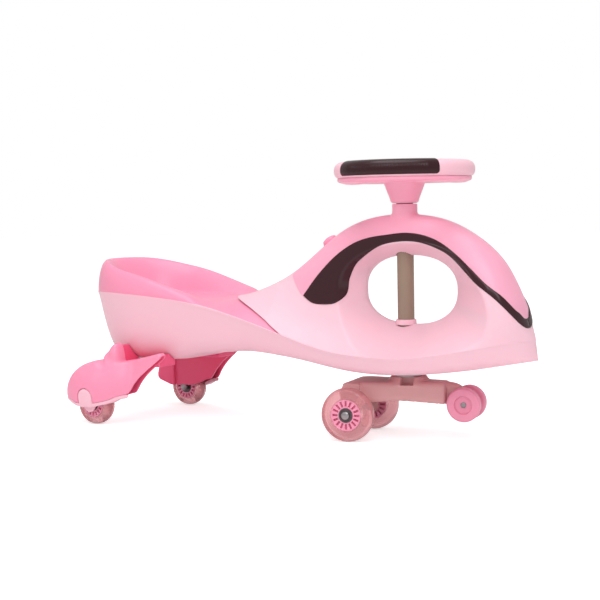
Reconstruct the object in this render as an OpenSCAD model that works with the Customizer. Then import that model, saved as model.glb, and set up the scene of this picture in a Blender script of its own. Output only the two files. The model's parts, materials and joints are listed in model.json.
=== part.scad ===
// Wiggle car: a child's ride-on that rolls forward when its steering wheel is swung from side to side.
// +X is forward, +Y is the rider's left, +Z is up; the ground is Z = 0 below the middle of the car.

/* [Body] */
// Reach of the nose in front of the steering column
nose_reach = 212; // [195:1:230]
// Reach of the seat back behind the steering column
rear_reach = 578; // [550:1:610]
// Height of the underside of the body
belly_height = 102; // [100:1:110]
// Height of the outer edge of the footrests above the underside
footrest_rise = 26; // [22:1:32]
// Height of the lower edge of the nose above the underside
nose_rise = 24; // [18:1:26]
// Height of the side seam of the seat above the footrests
seam_rise = 84; // [76:1:92]
// Depth of the saddle below the side seam of the seat
saddle_drop = 7; // [4:0.5:10]
// Half width across the seat
seat_half = 108; // [100:1:116]
// Half width across the waist in front of the seat
waist_half = 87; // [80:1:94]
// Half width across the footrests
foot_half = 92; // [86:1:100]
// Half thickness of the head beside its hole
head_half = 48; // [44:1:54]
// Inward lean of the lower flanks, in millimetres per millimetre
flank_lean = 0.3; // [0.2:0.05:0.4]
// Wall of the moulded shells
wall = 3; // [2.5:0.1:3.5]
// Gap along the seams between the shells
seam_gap = 0.3; // [0.25:0.05:0.5]

/* [Head hole] */
// Length of the hole through the head
hole_length = 150; // [135:1:160]
// Height of the hole through the head
hole_height = 101; // [90:1:108]
// Centre of the hole in front of the column
hole_ahead = 12.5; // [5:0.5:20]
// Height of the lower edge of the hole above the footrests
shelf_rise = 46; // [42:1:52]
// Height of the crown of the hood above the hole
bridge_height = 57; // [50:1:66]
// Half width of the straight throat of the hole
throat_half = 4; // [3:0.5:8]

/* [Seat] */
// Height of the seat back above the side seam
back_rise = 55; // [45:1:66]
// Depth of the seat pan below the side seam
pan_drop = 8; // [5:0.5:12]
// Reach of the front edge of the seat behind the column
seat_front = 165; // [158:1:180]
// Reach of the tip of the saddle tongue behind the column
tongue_reach = 308; // [295:1:320]

/* [Trim and horn] */
// Thickness of the dark trim band
trim_thick = 1.8; // [1.2:0.1:2.4]
// Distance of the horn button behind the column
horn_back = 131; // [122:1:138]
// Diameter of the horn button
horn_d = 18; // [14:1:22]
// Travel of the horn button
horn_travel = 2.5; // [1.5:0.5:4]

/* [Steering wheel] */
// Steering angle at rest, in degrees to the left
steer_angle = 12.5; // [0:0.5:30]
// Outer radius of the steering wheel
wheel_radius = 104; // [95:1:112]
// Radius of the section of the rim
rim_radius = 14.5; // [12:0.5:17]
// Height of the middle of the rim above the hood neck
rim_rise = 51.5; // [46:0.5:62]
// Thickness of the hand grips
grip_thick = 4; // [3:0.5:5]
// Arc of each hand grip in degrees
grip_arc = 92; // [70:1:110]

/* [Column] */
// Outer diameter of the column tube
column_d = 25; // [22:1:28]
// Wall of the column tube
column_wall = 2; // [1.5:0.5:3]
// Height of the hood neck above the crown
neck_rise = 16; // [12:1:18]
// Wall of the bushes that carry the column
bush_wall = 3; // [2:0.5:4]

/* [Front bogie] */
// Distance of the front axle behind the column
front_axle_back = 73; // [66:1:80]
// Distance between the middles of the front wheels
front_track = 122; // [114:1:132]
// Diameter of the front wheels
front_wheel_d = 80; // [74:1:84]
// Width of the front and rear wheels
tread_width = 24; // [22:1:26]
// Distance of the safety wheels in front of the column
safety_ahead = 91; // [84:1:98]
// Distance between the middles of the safety wheels
safety_track = 34; // [32:1:40]
// Diameter of the safety wheels
safety_d = 51; // [44:1:56]
// Width of the safety wheels
safety_width = 14; // [12:1:16]
// Clearance of the safety wheels above the ground
safety_lift = 28.5; // [24:0.5:32]

/* [Rear legs] */
// Distance of the rear axles behind the column
rear_axle_back = 512; // [505:1:520]
// Half of the distance between the rear wheels
rear_half = 121; // [118:1:126]
// Diameter of the rear wheels
rear_wheel_d = 66; // [60:1:70]
// Width of each rear wheel cover
cover_width = 56; // [54:1:60]
// Height of the lower edge of the rear covers above the rear axles
cover_rise = 11; // [9:1:15]

/* [Bearings and fits] */
// Bore of the wheel bearings and diameter of the main axles
axle_d = 8; // [6:0.5:8]
// Outer diameter of the wheel bearings
bearing_d = 22; // [20:1:24]
// Width of the wheel bearings
bearing_width = 7; // [6:0.5:8]
// Diameter of the self-tapping screws
screw_d = 4; // [3:0.5:5]
// Radial clearance of a running fit
run_fit = 0.05; // [0.03:0.01:0.08]
// Radial clearance of parts that are pushed together
push_fit = 0.03; // [0.02:0.01:0.05]
// Clearance between moving parts that pass each other
air_gap = 1; // [0.6:0.1:1.5]

/* [Hidden] */
$fn = 48;

light_pink = "#F6CBD8";
mid_pink = "#F58FB2";
dark_trim = "#2E2125";
steel = "#B9BCC0";
tan_tube = "#A79A90";
salmon = "#E79A97";

left = 1;
right = -1;
ridge = 1.2;
column_x = (rear_reach - nose_reach) / 2;
front_r = front_wheel_d / 2;
rear_r = rear_wheel_d / 2;
footrest_height = belly_height + footrest_rise;
nose_height = belly_height + nose_rise;
seam_height = footrest_height + seam_rise;
saddle_height = seam_height - saddle_drop;
pan_height = seam_height - pan_drop;
back_height = seam_height + back_rise;
hole_mid = footrest_height + shelf_rise + hole_height / 2;
crown_height = hole_mid + hole_height / 2 + bridge_height;
neck_top = crown_height + neck_rise;
rim_height = neck_top + rim_rise;
safety_height = safety_lift + safety_d / 2;
cover_bottom = rear_r + cover_rise;
tongue_drop = wall + 9 * seam_gap;
seat_gap = 4 * seam_gap;
bowl_run = 50;
bowl_lead = 40;
tuck_run = 25;
stations = 20;
around = 36;
head_steps = 7;
tub_steps = 5;
seat_steps = 8;

// Places along the car: shares of the reach in front of or behind the column
function along(f) = f < 0 ? f * rear_reach : f * nose_reach;
// Places on the side of the head: share of the reach and share of the height over the footrest
function on_head(f, g) = [along(f), footrest_height + g * (crown_height - footrest_height)];
function blend(a, b, t) = a + (b - a) * t;
function clamp01(t) = max(0, min(1, t));
function smooth(t) = let (s = clamp01(t)) s * s * (3 - 2 * s);

// A smooth curve through points, with each slope taken from the neighbouring points
function span_at(x, p, i = 0) = i >= len(p) - 2 || x < p[i + 1][0] ? i : span_at(x, p, i + 1);
function rise_at(p, i) = let (a = max(i - 1, 0), b = min(i + 1, len(p) - 1))
  (p[b][1] - p[a][1]) / (p[b][0] - p[a][0]);
function curve(x, p) = let (
    c = max(p[0][0], min(x, p[len(p) - 1][0])),
    i = span_at(c, p),
    h = p[i + 1][0] - p[i][0],
    t = (c - p[i][0]) / h)
  (2 * t ^ 3 - 3 * t ^ 2 + 1) * p[i][1] + (t ^ 3 - 2 * t ^ 2 + t) * h * rise_at(p, i)
  + (3 * t ^ 2 - 2 * t ^ 3) * p[i + 1][1] + (t ^ 3 - t ^ 2) * h * rise_at(p, i + 1);

// Profile of the crown, from the saddle over the hood to the nose
crown_line = concat(
  [for (p = [[-0.54, 0], [-0.453, 0.083], [-0.334, 0.325], [-0.178, 0.833], [-0.069, 0.99]])
    [along(p[0]), blend(saddle_height, crown_height, p[1])]],
  [for (p = [[0.189, 0.99], [0.472, 0.905], [0.741, 0.695], [0.91, 0.415], [0.972, 0.234], [1, 0.04]])
    [along(p[0]), blend(nose_height, crown_height, p[1])]]);
// Profile of the seam, from the seat back down to the footrests and up to the nose
seam_line = [for (p = [[-1, 1], [-0.82, 1], [-0.631, 0.9], [-0.535, 0.793], [-0.445, 0.627],
    [-0.291, 0.32], [-0.204, 0.154], [-0.114, 0.041], [0, 0], [0.189, 0.006], [0.415, 0.071],
    [0.66, 0.178], [0.849, 0.26], [1, 0.284]])
  [along(p[0]), blend(footrest_height, seam_height, p[1])]];
// Profile of the underside: height above its lowest place under the column
stern_edge = 17;
stern_rise = seam_height - belly_height - stern_edge;
belly_line = concat(
  [for (p = [[-1, 1], [-0.981, 0.67], [-0.946, 0.28], [-0.917, 0.065], [-0.865, 0.005]])
    [along(p[0]), belly_height + p[1] * stern_rise]],
  [for (p = [[-0.668, 0.16], [-0.602, 0.54], [-0.514, 0.81], [-0.424, 0.96], [-0.322, 0.79],
      [-0.242, 0.58], [-0.166, 0.29], [-0.093, 0.08], [-0.04, 0], [0.06, 0], [0.363, 0.16],
      [0.604, 0.42], [0.849, 0.79], [1, 1]])
    [along(p[0]), belly_height + p[1] * nose_rise]]);
// Half width of the body at the seam, and half thickness of the head above it
width_line = [[along(-1), seat_half], [along(-0.74), seat_half],
  [along(-0.57), blend(waist_half, seat_half, 0.62)], [along(-0.43), waist_half + 2],
  [along(-0.26), waist_half], [along(0.06), foot_half], [along(0.38), 0.97 * foot_half],
  [along(0.71), 0.87 * foot_half], [along(1), 0.78 * foot_half]];
head_line = [[along(-0.54), head_half + 2], [along(-0.25), head_half], [0, head_half + 2],
  [along(0.42), head_half + 6], [along(1), head_half + 12]];
// Height of the rim of the seat
rim_line = [for (p = [[-1, 0.99], [-0.936, 0.95], [-0.844, 0.76], [-0.753, 0.57], [-0.664, 0.33],
    [-0.578, 0.09], [-0.53, 0]])
  [along(p[0]), blend(pan_height, back_height, p[1])]];

// Ends of the plan run out as quarter ellipses
function end_round(x, from, to) = sqrt(max(0, 1 - clamp01((x - from) / (to - from)) ^ 2));
function crown_z(x) = curve(x, crown_line);
function seam_z(x) = min(curve(x, seam_line), x < -tongue_reach ? seam_height : crown_z(x) - 2 * ridge);
function belly_z(x) = min(curve(x, belly_line), seam_z(x) - ridge);
seat_mid = along(-0.78);
function seam_half(x) = curve(x, width_line) * end_round(x, along(0.19), nose_reach + 0.3)
  * end_round(x, seat_mid, -rear_reach);
function slim_half(x) = min(seam_half(x), curve(x, head_line) * end_round(x, along(0.42), nose_reach + 0.3));
// Half thickness of the head at a share t of the height from seam to crown
flare_height = 70;
function flank_half(x, t) = let (
    tall = crown_z(x) - seam_z(x),
    f = clamp01(t * tall / min(flare_height, 0.95 * tall)))
  slim_half(x) * max(0, 1 - t ^ 2.2) ^ 0.4 + (seam_half(x) - slim_half(x)) * (1 - f) ^ 2;
// Share of the height at which the head has a given half thickness
function height_share(x, y, lo = 0, hi = 1, n = 14) = n == 0 ? (lo + hi) / 2 : let (m = (lo + hi) / 2)
  flank_half(x, m) > y ? height_share(x, y, m, hi, n - 1) : height_share(x, y, lo, m, n - 1);

// Least half width of a ring at its n-th point from the ridge
function least_half(n) = ridge + 0.4 * n;

// A closed skin over rings of points that all have the same count
module skin(rings) {
  n = len(rings[0]);
  last = len(rings) - 1;
  walls = [for (i = [0 : last - 1], j = [0 : n - 1]) let (a = i * n + j, b = i * n + (j + 1) % n)
    each [[a, b, b + n], [a, b + n, a + n]]];
  ends = [[for (j = [n - 1 : -1 : 0]) j], [for (j = [0 : n - 1]) last * n + j]];
  polyhedron(points = [for (r = rings) each r], faces = concat(walls, ends));
}

// Several skins cut and joined as one moulding
module moulding() {
  resize([0, 0, 0]) children();
}

// The head and saddle above the seam, shrunk by d, open below by drop
head_rear = -tongue_reach - 2;
head_x = [for (i = [0 : stations]) blend(head_rear, nose_reach, sin(90 * i / stations))];
function head_ring(x, d, drop) = let (
    seam = seam_z(x) + seam_gap,
    top = crown_z(x) - d,
    steps = [for (j = [0 : head_steps]) 1 - (1 - j / head_steps) ^ 1.7],
    place = x - d * smooth(x / nose_reach) - (d > 0 && x == head_rear ? 3 * d : 0),
    half = [for (j = [0 : head_steps]) max(least_half(head_steps - j), flank_half(x, steps[j]) - d)],
    up = [for (j = [0 : head_steps]) blend(seam, top, steps[j]) - (j == 0 ? drop : 0)])
  concat([for (j = [0 : head_steps]) [place, -half[j], up[j]]],
    [for (j = [head_steps : -1 : 0]) [place, half[j], up[j]]]);
module head_form(d = 0, drop = 0) {
  skin([for (x = head_x) head_ring(x, d, drop)]);
}

// The hole through the head: an egg-shaped throat that flares to both sides, grown by d
flare_line = [[0, 0.67], [45, 1.1], [90, 1.7], [135, 1.9], [180, 1.9], [225, 2.1], [270, 2],
  [315, 1.2], [360, 0.67]];
function throat_r(u) = (abs(cos(u) * 2 / hole_length) ^ 2.3 + abs(sin(u) * 2 / hole_height) ^ 2.3) ^ (-1 / 2.3);
module hole_form(d = 0) {
  reach = foot_half + 30;
  sides = [-reach, -throat_half, throat_half, reach];
  skin([for (y = sides) [for (i = [0 : around - 1]) let (
      u = i * 360 / around,
      r = throat_r(u) + d + (abs(y) - throat_half) / curve(u, flare_line))
    [hole_ahead + r * cos(u), y, hole_mid + r * sin(u)]]]);
}

// The lower body under the seam, shrunk by d, with its top raised by lift
seat_x = [for (i = [0 : stations]) blend(-seat_front, -rear_reach, sin(90 * i / stations))];
body_x = concat([for (i = [stations : -1 : 0]) if (seat_x[i] < head_rear - wall) seat_x[i]], head_x);
function tub_ring(x, d, lift) = let (
    top = seam_z(x),
    deep = max(ridge, top - belly_z(x) - d),
    shift = (x + rear_reach) / (nose_reach + rear_reach),
    place = x - d * (2 * shift - 1),
    bend = [for (j = [0 : tub_steps]) 90 * smooth(j / tub_steps)],
    z = [for (a = bend) top - deep * sin(a) ^ 0.3],
    y = [for (j = [0 : tub_steps]) max(least_half(tub_steps - j),
      (seam_half(x) - d - flank_lean * (top - z[j])) * cos(bend[j]) ^ 0.3)])
  concat([for (j = [0 : tub_steps]) [place, -y[j], z[j] + (j == 0 ? lift : 0)]],
    [for (j = [tub_steps : -1 : 0]) [place, y[j], z[j] + (j == 0 ? lift : 0)]]);
module tub_form(d = 0, lift = 0) {
  skin([for (i = [len(body_x) - 1 : -1 : 0]) tub_ring(body_x[i], d, lift)]);
}

// The seat: a bucket whose rim sinks to the front, where it runs under the saddle tongue
function bucket_z(x, q) = let (
    peak = 0.86,
    pan = blend(pan_height, curve(x, rim_line), smooth((q - 0.5) / (peak - 0.5))),
    edge = seam_z(x) + seat_gap)
  q < peak ? pan : edge + (curve(x, rim_line) - edge) * sqrt(max(0, 1 - ((q - peak) / (1 - peak)) ^ 2));
function plan_share(x, y) = x > seat_mid ? abs(y) / seam_half(x)
  : norm([(x - seat_mid) / (rear_reach + seat_mid), y / curve(x, width_line)]);
function saddle_z(x, y) = let (t = height_share(x, abs(y) + tongue_drop))
  blend(seam_z(x) + seat_gap, crown_z(x) - tongue_drop, t);
function seat_z(x, y) = let (b = smooth((x + tongue_reach + bowl_lead) / bowl_run), q = min(1, plan_share(x, y)))
  b <= 0 ? bucket_z(x, q) : b >= 1 ? saddle_z(x, y) : blend(bucket_z(x, q), saddle_z(x, y), b);
function seat_row(x) = let (
    tuck = (tongue_drop + 4 * seam_gap) * smooth((x + seat_front + 2 * tuck_run) / tuck_run),
    half = max(least_half(seat_steps), seam_half(x) - tuck),
    shares = [for (j = [-seat_steps : seat_steps]) blend(j / seat_steps, sin(90 * j / seat_steps), 0.5)])
  [for (s = shares) [x, s * half, seat_z(x, s * half)]];
seat_grid = [for (x = seat_x) seat_row(x)];

// A sheet of even thickness under a grid of points, whose rows run to the rear and whose columns run to the left
function inward(g, i, j) = let (
    r = len(g) - 1,
    c = len(g[0]) - 1,
    u = g[min(i + 1, r)][j] - g[max(i - 1, 0)][j],
    v = g[i][min(j + 1, c)] - g[i][max(j - 1, 0)],
    n = i == r ? [1, 0, 0] : j == 0 ? [u[1], -u[0], 0] : j == c ? [-u[1], u[0], 0] : cross(u, v))
  n / norm(n);
module sheet(g, thick) {
  rows = len(g) - 1;
  n = len(g[0]);
  all = (rows + 1) * n;
  below = [for (i = [0 : rows], j = [0 : n - 1]) g[i][j] + thick * inward(g, i, j)];
  rim = concat([for (j = [0 : n - 1]) j], [for (i = [1 : rows]) i * n + n - 1],
    [for (j = [n - 2 : -1 : 0]) rows * n + j], [for (i = [rows - 1 : -1 : 1]) i * n]);
  faces = [for (i = [0 : rows - 1], j = [0 : n - 2]) let (a = i * n + j, b = a + n)
    each [[a, b + 1, a + 1], [a, b, b + 1], [a + all, a + 1 + all, b + 1 + all], [a + all, b + 1 + all, b + all]]];
  edges = [for (k = [0 : len(rim) - 1]) let (a = rim[k], b = rim[(k + 1) % len(rim)])
    each [[a, b, a + all], [b, b + all, a + all]]];
  polyhedron(points = concat([for (r = g) each r], below), faces = concat(faces, edges));
}

// Outlines on the side of the head, drawn across the car
module across_car(points) {
  rotate([90, 0, 0])
    linear_extrude(height = 4 * foot_half, center = true)
      polygon(points);
}
function path(p, n = 4) = [for (i = [0 : len(p) - 2], k = [0 : n - 1]) let (
    a = p[max(i - 1, 0)],
    b = p[i],
    c = p[i + 1],
    e = p[min(i + 2, len(p) - 1)],
    t = k / n)
  0.5 * (2 * b + (c - a) * t + (2 * a - 5 * b + 4 * c - e) * t ^ 2 + (3 * b - a - 3 * c + e) * t ^ 3)];
// Upper edge of the trim, from the nose to the tail of the swoosh, and its lower edge back again
trim_upper = [on_head(1.04, 0.21), on_head(0.816, 0.434), on_head(0.594, 0.631), on_head(0.344, 0.818),
  on_head(0.085, 0.873), on_head(-0.087, 0.837), on_head(-0.18, 0.7), on_head(-0.268, 0.41)];
trim_lower = [on_head(-0.268, 0.41), on_head(-0.2, 0.345), on_head(-0.148, 0.365), on_head(-0.124, 0.47),
  on_head(-0.116, 0.645), on_head(-0.08, 0.73), on_head(0.033, 0.808), on_head(0.288, 0.783),
  on_head(0.547, 0.6), on_head(0.769, 0.418), on_head(1.04, 0.165)];
// Joint between hood and upper shell, hidden under the trim, then the rear edge of the hood
hood_joint = [on_head(1.1, 0.15), on_head(0.792, 0.425), on_head(0.571, 0.616), on_head(0.316, 0.8),
  on_head(0.057, 0.842), on_head(-0.083, 0.785), on_head(-0.152, 0.58), on_head(-0.21, 0.42),
  on_head(-0.268, 0.41), on_head(-0.3, 0.49), on_head(-0.32, 0.56), on_head(-0.36, 0.63)];
module above_joint(lift = 0) {
  translate([0, 0, lift])
    across_car(concat(path(hood_joint), [on_head(-0.4, 1.3), on_head(1.1, 1.3)]));
}

// The place in front of the column, and steered pieces turned with the column
module at_column() {
  translate([column_x, 0, 0]) children();
}
module steered() {
  at_column() rotate([0, 0, steer_angle]) children();
}
module to_side(side) {
  mirror([0, side == right ? 1 : 0, 0]) children();
}
// A cylinder that lies across the car, from one distance to another
module crosswise(r, from, to) {
  translate([0, from, 0])
    rotate([-90, 0, 0])
      cylinder(r = r, h = to - from);
}
module ring(inner, outer, from, to) {
  rotate_extrude()
    translate([inner, from])
      square([outer - inner, to - from]);
}

// Screws that hold the seat and the upper shell down on the lower shell
post_r = screw_d / 2 + 4;
seat_posts = [for (x = [along(-0.82), along(-0.6)], y = [-0.3 * seat_half, 0.3 * seat_half]) [x, y]];
shelf_posts = [for (y = [-0.5 * foot_half, 0.5 * foot_half]) [along(0.3), y]];
leg_feet = [for (x = [along(-0.775), along(-0.71)], y = [-0.58 * seat_half, 0.58 * seat_half]) [x, y]];
screw_r = screw_d / 2;
screw_head = 2.4;
screw_grip = 16;
function floor_z(p) = belly_z(p[0]) + wall;
module posts(places, top) {
  for (p = places)
    translate([p[0], p[1], floor_z(p) + air_gap])
      cylinder(r = post_r, h = top - floor_z(p) - air_gap);
}
module head_pockets(places, depth) {
  for (p = places)
    translate([p[0], p[1], 0])
      cylinder(r = 2 * screw_r + air_gap / 2, h = floor_z(p) - depth + seam_gap);
}
module pilot_holes(places, from) {
  for (p = places)
    translate([p[0], p[1], floor_z(p) - from])
      cylinder(r = screw_r + push_fit, h = from + screw_grip + air_gap);
}
module screws(places, depth) {
  for (p = places)
    translate([p[0], p[1], floor_z(p) - depth]) {
      cylinder(r = screw_r, h = screw_grip);
      translate([0, 0, -screw_head])
        cylinder(r = 2 * screw_r, h = screw_head);
    }
}

// Horn button: its axis stands square on the rear slope of the hood
horn_tilt = atan((crown_z(-horn_back + 5) - crown_z(-horn_back - 5)) / 10);
horn_r = horn_d / 2;
horn_wall = 3.5;
horn_rim = 4;
horn_deep = 9;
module at_horn() {
  at_column()
    translate([-horn_back, 0, crown_z(-horn_back)])
      rotate([0, -horn_tilt, 0])
        children();
}

// Column and bush sizes
column_r = column_d / 2;
bush_r = column_r + run_fit + bush_wall;
neck_r = bush_r + push_fit + wall;
neck_root = 20;
shelf_thick = 14;
boss_top = footrest_height + shelf_rise - shelf_thick;
bogie_drop = 9;
bogie_top = belly_height - bogie_drop;
washer_thick = 3.4;
safety_pin_r = 3;
flange_wide = 7;
flange_r = bush_r + flange_wide;

module lower_shell() {
  color(light_pink)
    at_column()
      difference() {
        moulding()
          union() {
            difference() {
              tub_form();
              tub_form(wall, 2 * wall);
            }
            translate([0, 0, belly_height + wall / 2])
              cylinder(r = bush_r + push_fit + wall, h = boss_top - belly_height - wall / 2);
          }
        cylinder(r = bush_r + push_fit, h = crown_height);
        pilot_holes(concat(seat_posts, shelf_posts, leg_feet), belly_height);
        head_pockets(concat(seat_posts, shelf_posts), wall / 2);
      }
}

// A shell with the outside of the head and the inside of its wall
module head_shell() {
  difference() {
    head_form();
    hole_form();
    difference() {
      head_form(wall, wall / 2);
      hole_form(1.35 * wall);
    }
  }
}
// Plan of the saddle tongue, which narrows to a round tip over the front of the seat
module beside_tongue() {
  edge = [for (s = [-1.06 : 0.106 : 1.07]) [blend(-tongue_reach, -seat_front, 0.94 * abs(s) ^ 1.25), s * waist_half]];
  linear_extrude(height = crown_height)
    polygon(concat(edge, [[-seat_front, 2 * seat_half], [-rear_reach, 2 * seat_half],
      [-rear_reach, -2 * seat_half], [-seat_front, -2 * seat_half]]));
}
module upper_shell() {
  color(light_pink)
    at_column()
      difference() {
        moulding()
          union() {
            difference() {
              head_shell();
              above_joint(-seam_gap);
              beside_tongue();
            }
            intersection() {
              posts(shelf_posts, hole_mid);
              difference() {
                head_form(wall / 2, 10 * wall);
                hole_form(wall / 2);
              }
            }
          }
        cylinder(r = column_r + air_gap, h = crown_height);
        pilot_holes(shelf_posts, 0);
      }
}
module hood() {
  color(mid_pink)
    difference() {
      at_column()
        difference() {
          moulding()
            union() {
              intersection() {
                head_shell();
                above_joint();
              }
              translate([0, 0, crown_height - neck_root])
                cylinder(r = neck_r, h = neck_rise + neck_root);
            }
          translate([0, 0, belly_height])
            cylinder(r = bush_r + push_fit, h = crown_height);
        }
      at_horn()
        translate([0, 0, -2 * horn_deep])
          cylinder(r = horn_r + horn_wall + push_fit, h = 4 * horn_deep);
    }
}
module trim_band() {
  color(dark_trim)
    at_column()
      moulding()
        intersection() {
          difference() {
            head_form(-trim_thick);
            hole_form(-trim_thick);
            difference() {
              head_form(-seam_gap, wall);
              hole_form(-seam_gap);
            }
          }
          across_car(concat(path(trim_upper), path(trim_lower)));
        }
}
module seat() {
  color(mid_pink)
    at_column()
      difference() {
        moulding()
          union() {
            sheet(seat_grid, wall);
            posts(seat_posts, pan_height - wall / 3);
          }
        pilot_holes(seat_posts, 0);
      }
}
module body_screws() {
  color(steel)
    at_column()
      screws(concat(seat_posts, shelf_posts), wall / 2);
}

// The bezel is a sleeve with an inner ledge, which the flange of the button rests under
module horn_bezel() {
  color(mid_pink)
    at_horn()
      rotate_extrude()
        difference() {
          translate([horn_r + run_fit, -horn_deep])
            square([horn_wall - run_fit, horn_deep + horn_rim]);
          translate([0, -horn_deep - 1])
            square([horn_r + horn_wall / 2, horn_deep - 1]);
        }
}
module horn_button() {
  color(mid_pink)
    at_horn()
      rotate_extrude() {
        intersection() {
          translate([0, horn_rim + horn_travel + 1 - 1.6 * horn_r])
            circle(r = 1.6 * horn_r);
          translate([0, -horn_deep])
            square([horn_r, 4 * horn_deep]);
        }
        translate([0, -horn_deep + 2])
          square([horn_r + horn_wall / 2 - 4 * run_fit, horn_deep - 4 - seam_gap]);
      }
}

module upper_bush() {
  color("white")
    at_column()
      ring(column_r + run_fit, bush_r, crown_height - neck_root, neck_top - seam_gap);
}
module lower_bush() {
  color("white")
    at_column() {
      ring(column_r + run_fit, bush_r, bogie_top + washer_thick + seam_gap, boss_top);
      ring(bush_r - 0.01, flange_r, bogie_top + washer_thick + seam_gap, belly_height - seam_gap);
    }
}
module thrust_washer() {
  color(steel)
    at_column()
      ring(column_r + air_gap, flange_r, bogie_top + seam_gap, bogie_top + washer_thick);
}
// A small collar round the tube where it enters the footrest shelf
collar_wide = 3;
collar_high = 3;
module shelf_collar() {
  color(mid_pink)
    at_column()
      difference() {
        moulding()
          intersection() {
            hole_form(-seam_gap);
            translate([0, 0, boss_top])
              cylinder(r = column_r + collar_wide, h = shelf_thick + collar_high);
          }
        cylinder(r = column_r + air_gap / 2, h = crown_height);
      }
}

// Steering wheel: an upper rim with spokes, and a lower cover with the cone that takes the column
rim_mid = wheel_radius - rim_radius;
core_r = rim_radius - grip_thick + 0.5;
grip_r = core_r + push_fit + grip_thick;
base_top = rim_height - grip_r - seam_gap;
base_thick = 6.5;
hub_r = 34;
spoke_w = 34;
rim_flat = 4;
base_half = 12;
base_edge = 2;
base_slope = 3;
rib_thick = 4;
rib_w = spoke_w - 2 * base_slope;
cone_foot = 4;
cone_waist = 7.5;
cone_top = 18;
cone_edge = 1.5;
cap_rise = 5;
cap_share = 0.74;
tube_seat = 3;
cone_bottom = neck_top + air_gap;
spoke_angles = [0, 153, 207];
hub_rise = 3;
hub_top = rim_height + hub_rise;
hub_low = base_top + seam_gap;
bolt_r = axle_d / 2;
head_high = 5;
module spokes(low, high, width) {
  for (a = spoke_angles)
    rotate([0, 0, a + 180])
      translate([0, -width / 2, low])
        cube([rim_mid - rim_radius / 2, width, high - low]);
}
// A stretch of the rim between two angles
module rim_arc(from, sweep) {
  rotate([0, 0, from])
    rotate_extrude(angle = sweep)
      translate([rim_mid, rim_height])
        children();
}
module steering_wheel() {
  color(light_pink)
    steered()
      difference() {
        union() {
          for (a = [0, 180])
            rim_arc(a - 90 + grip_arc / 2, 180 - grip_arc)
              union() {
                circle(r = rim_radius);
                translate([rim_flat - rim_radius, -rim_radius])
                  square([2 * (rim_radius - rim_flat), rim_radius]);
              }
          for (a = [90, 270])
            rim_arc(a - grip_arc / 2, grip_arc)
              circle(r = core_r);
          cylinder_from(hub_r, hub_low, hub_top);
          spokes(hub_low, rim_height, spoke_w);
        }
        cylinder_from(bolt_r + push_fit, 0, 2 * rim_height);
      }
}
module cylinder_from(r, low, high) {
  translate([0, 0, low])
    cylinder(r = r, h = high - low);
}
module wheel_base() {
  color(mid_pink)
    steered()
      difference() {
        union() {
          rotate_extrude()
            translate([rim_mid, base_top - base_thick])
              polygon([[base_slope - base_half, 0], [base_half - base_slope, 0], [base_half, base_thick - base_edge],
                [base_half, base_thick], [-base_half, base_thick], [-base_half, base_thick - base_edge]]);
          spokes(base_top - rib_thick, base_top, rib_w);
          rotate_extrude()
            polygon([[0, cone_bottom], [column_r + cone_foot, cone_bottom],
              [column_r + cone_waist, cone_bottom + cone_foot], [column_r + cone_top, base_top - cone_edge],
              [column_r + cone_top, base_top], [0, base_top]]);
        }
        cylinder_from(column_r + push_fit, 0, base_top - tube_seat);
        cylinder_from(bolt_r + push_fit, 0, 2 * rim_height);
      }
}
// A grip is a moulded sleeve over one side of the rim
module grip(side) {
  color(dark_trim)
    steered()
      rim_arc(side * 90 - grip_arc / 2 + 0.2, grip_arc - 0.4)
        difference() {
          circle(r = grip_r);
          circle(r = core_r + push_fit);
        }
}
module hub_cap() {
  color(mid_pink)
    steered()
      rotate_extrude()
        difference() {
          intersection() {
            translate([0, hub_top + head_high + cap_rise - 3 * hub_r])
              circle(r = 3 * hub_r, $fn = 96);
            translate([0, hub_top + push_fit])
              square([cap_share * hub_r, hub_r]);
          }
          square([2 * bolt_r + air_gap, hub_top + head_high + air_gap]);
        }
}
module hub_bolt() {
  color(steel)
    steered() {
      cylinder_from(bolt_r, cone_bottom + cone_foot, hub_top);
      translate([0, 0, hub_top])
        cylinder(r = 1.8 * bolt_r, h = head_high, $fn = 6);
    }
}
tube_top = base_top - tube_seat - seam_gap;
tube_low = safety_height - safety_pin_r;
module column_tube() {
  color(tan_tube)
    steered()
      difference() {
        cylinder_from(column_r, tube_low, tube_top);
        cylinder_from(column_r - column_wall, 0, crown_height * 2);
        pin_bore(push_fit);
      }
}
module column_insert() {
  color(steel)
    steered()
      ring(bolt_r + push_fit, column_r - column_wall - push_fit, cone_bottom, tube_top);
}

// Front bogie: a hollow moulding, wide at the front axle and narrow between the safety wheels
washer_space = 2;
axle_half = front_track / 2 - tread_width / 2 - washer_space;
safety_half = safety_track / 2 - safety_width / 2 - air_gap;
bogie_wall = 5;
lug_r = 13;
lug_in = 2;
socket_wall = 6;
socket_r = column_r + push_fit + socket_wall;
pin_deep = 20;
pin_z = bogie_top - pin_deep;
corner_r = 20;
corner_in = 10;
waist_r = 24;
waist_out = 8;
deck_drop = 8;
deck_z = bogie_top - deck_drop;
skirt = 4;
pin_r = 3;
module pin_bore(gap) {
  translate([0, 0, pin_z])
    crosswise(pin_r + gap, -2 * socket_r, 2 * socket_r);
}
module bogie_plan(low, high, inset) {
  for (p = [[-front_axle_back, axle_half - corner_in, corner_r], [0, waist_out, waist_r], [safety_ahead, 0, safety_half]])
    for (s = [-1, 1])
      translate([p[0], s * p[1], low])
        cylinder(r = max(ridge, p[2] - inset), h = high - low, $fn = 32);
}
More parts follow.
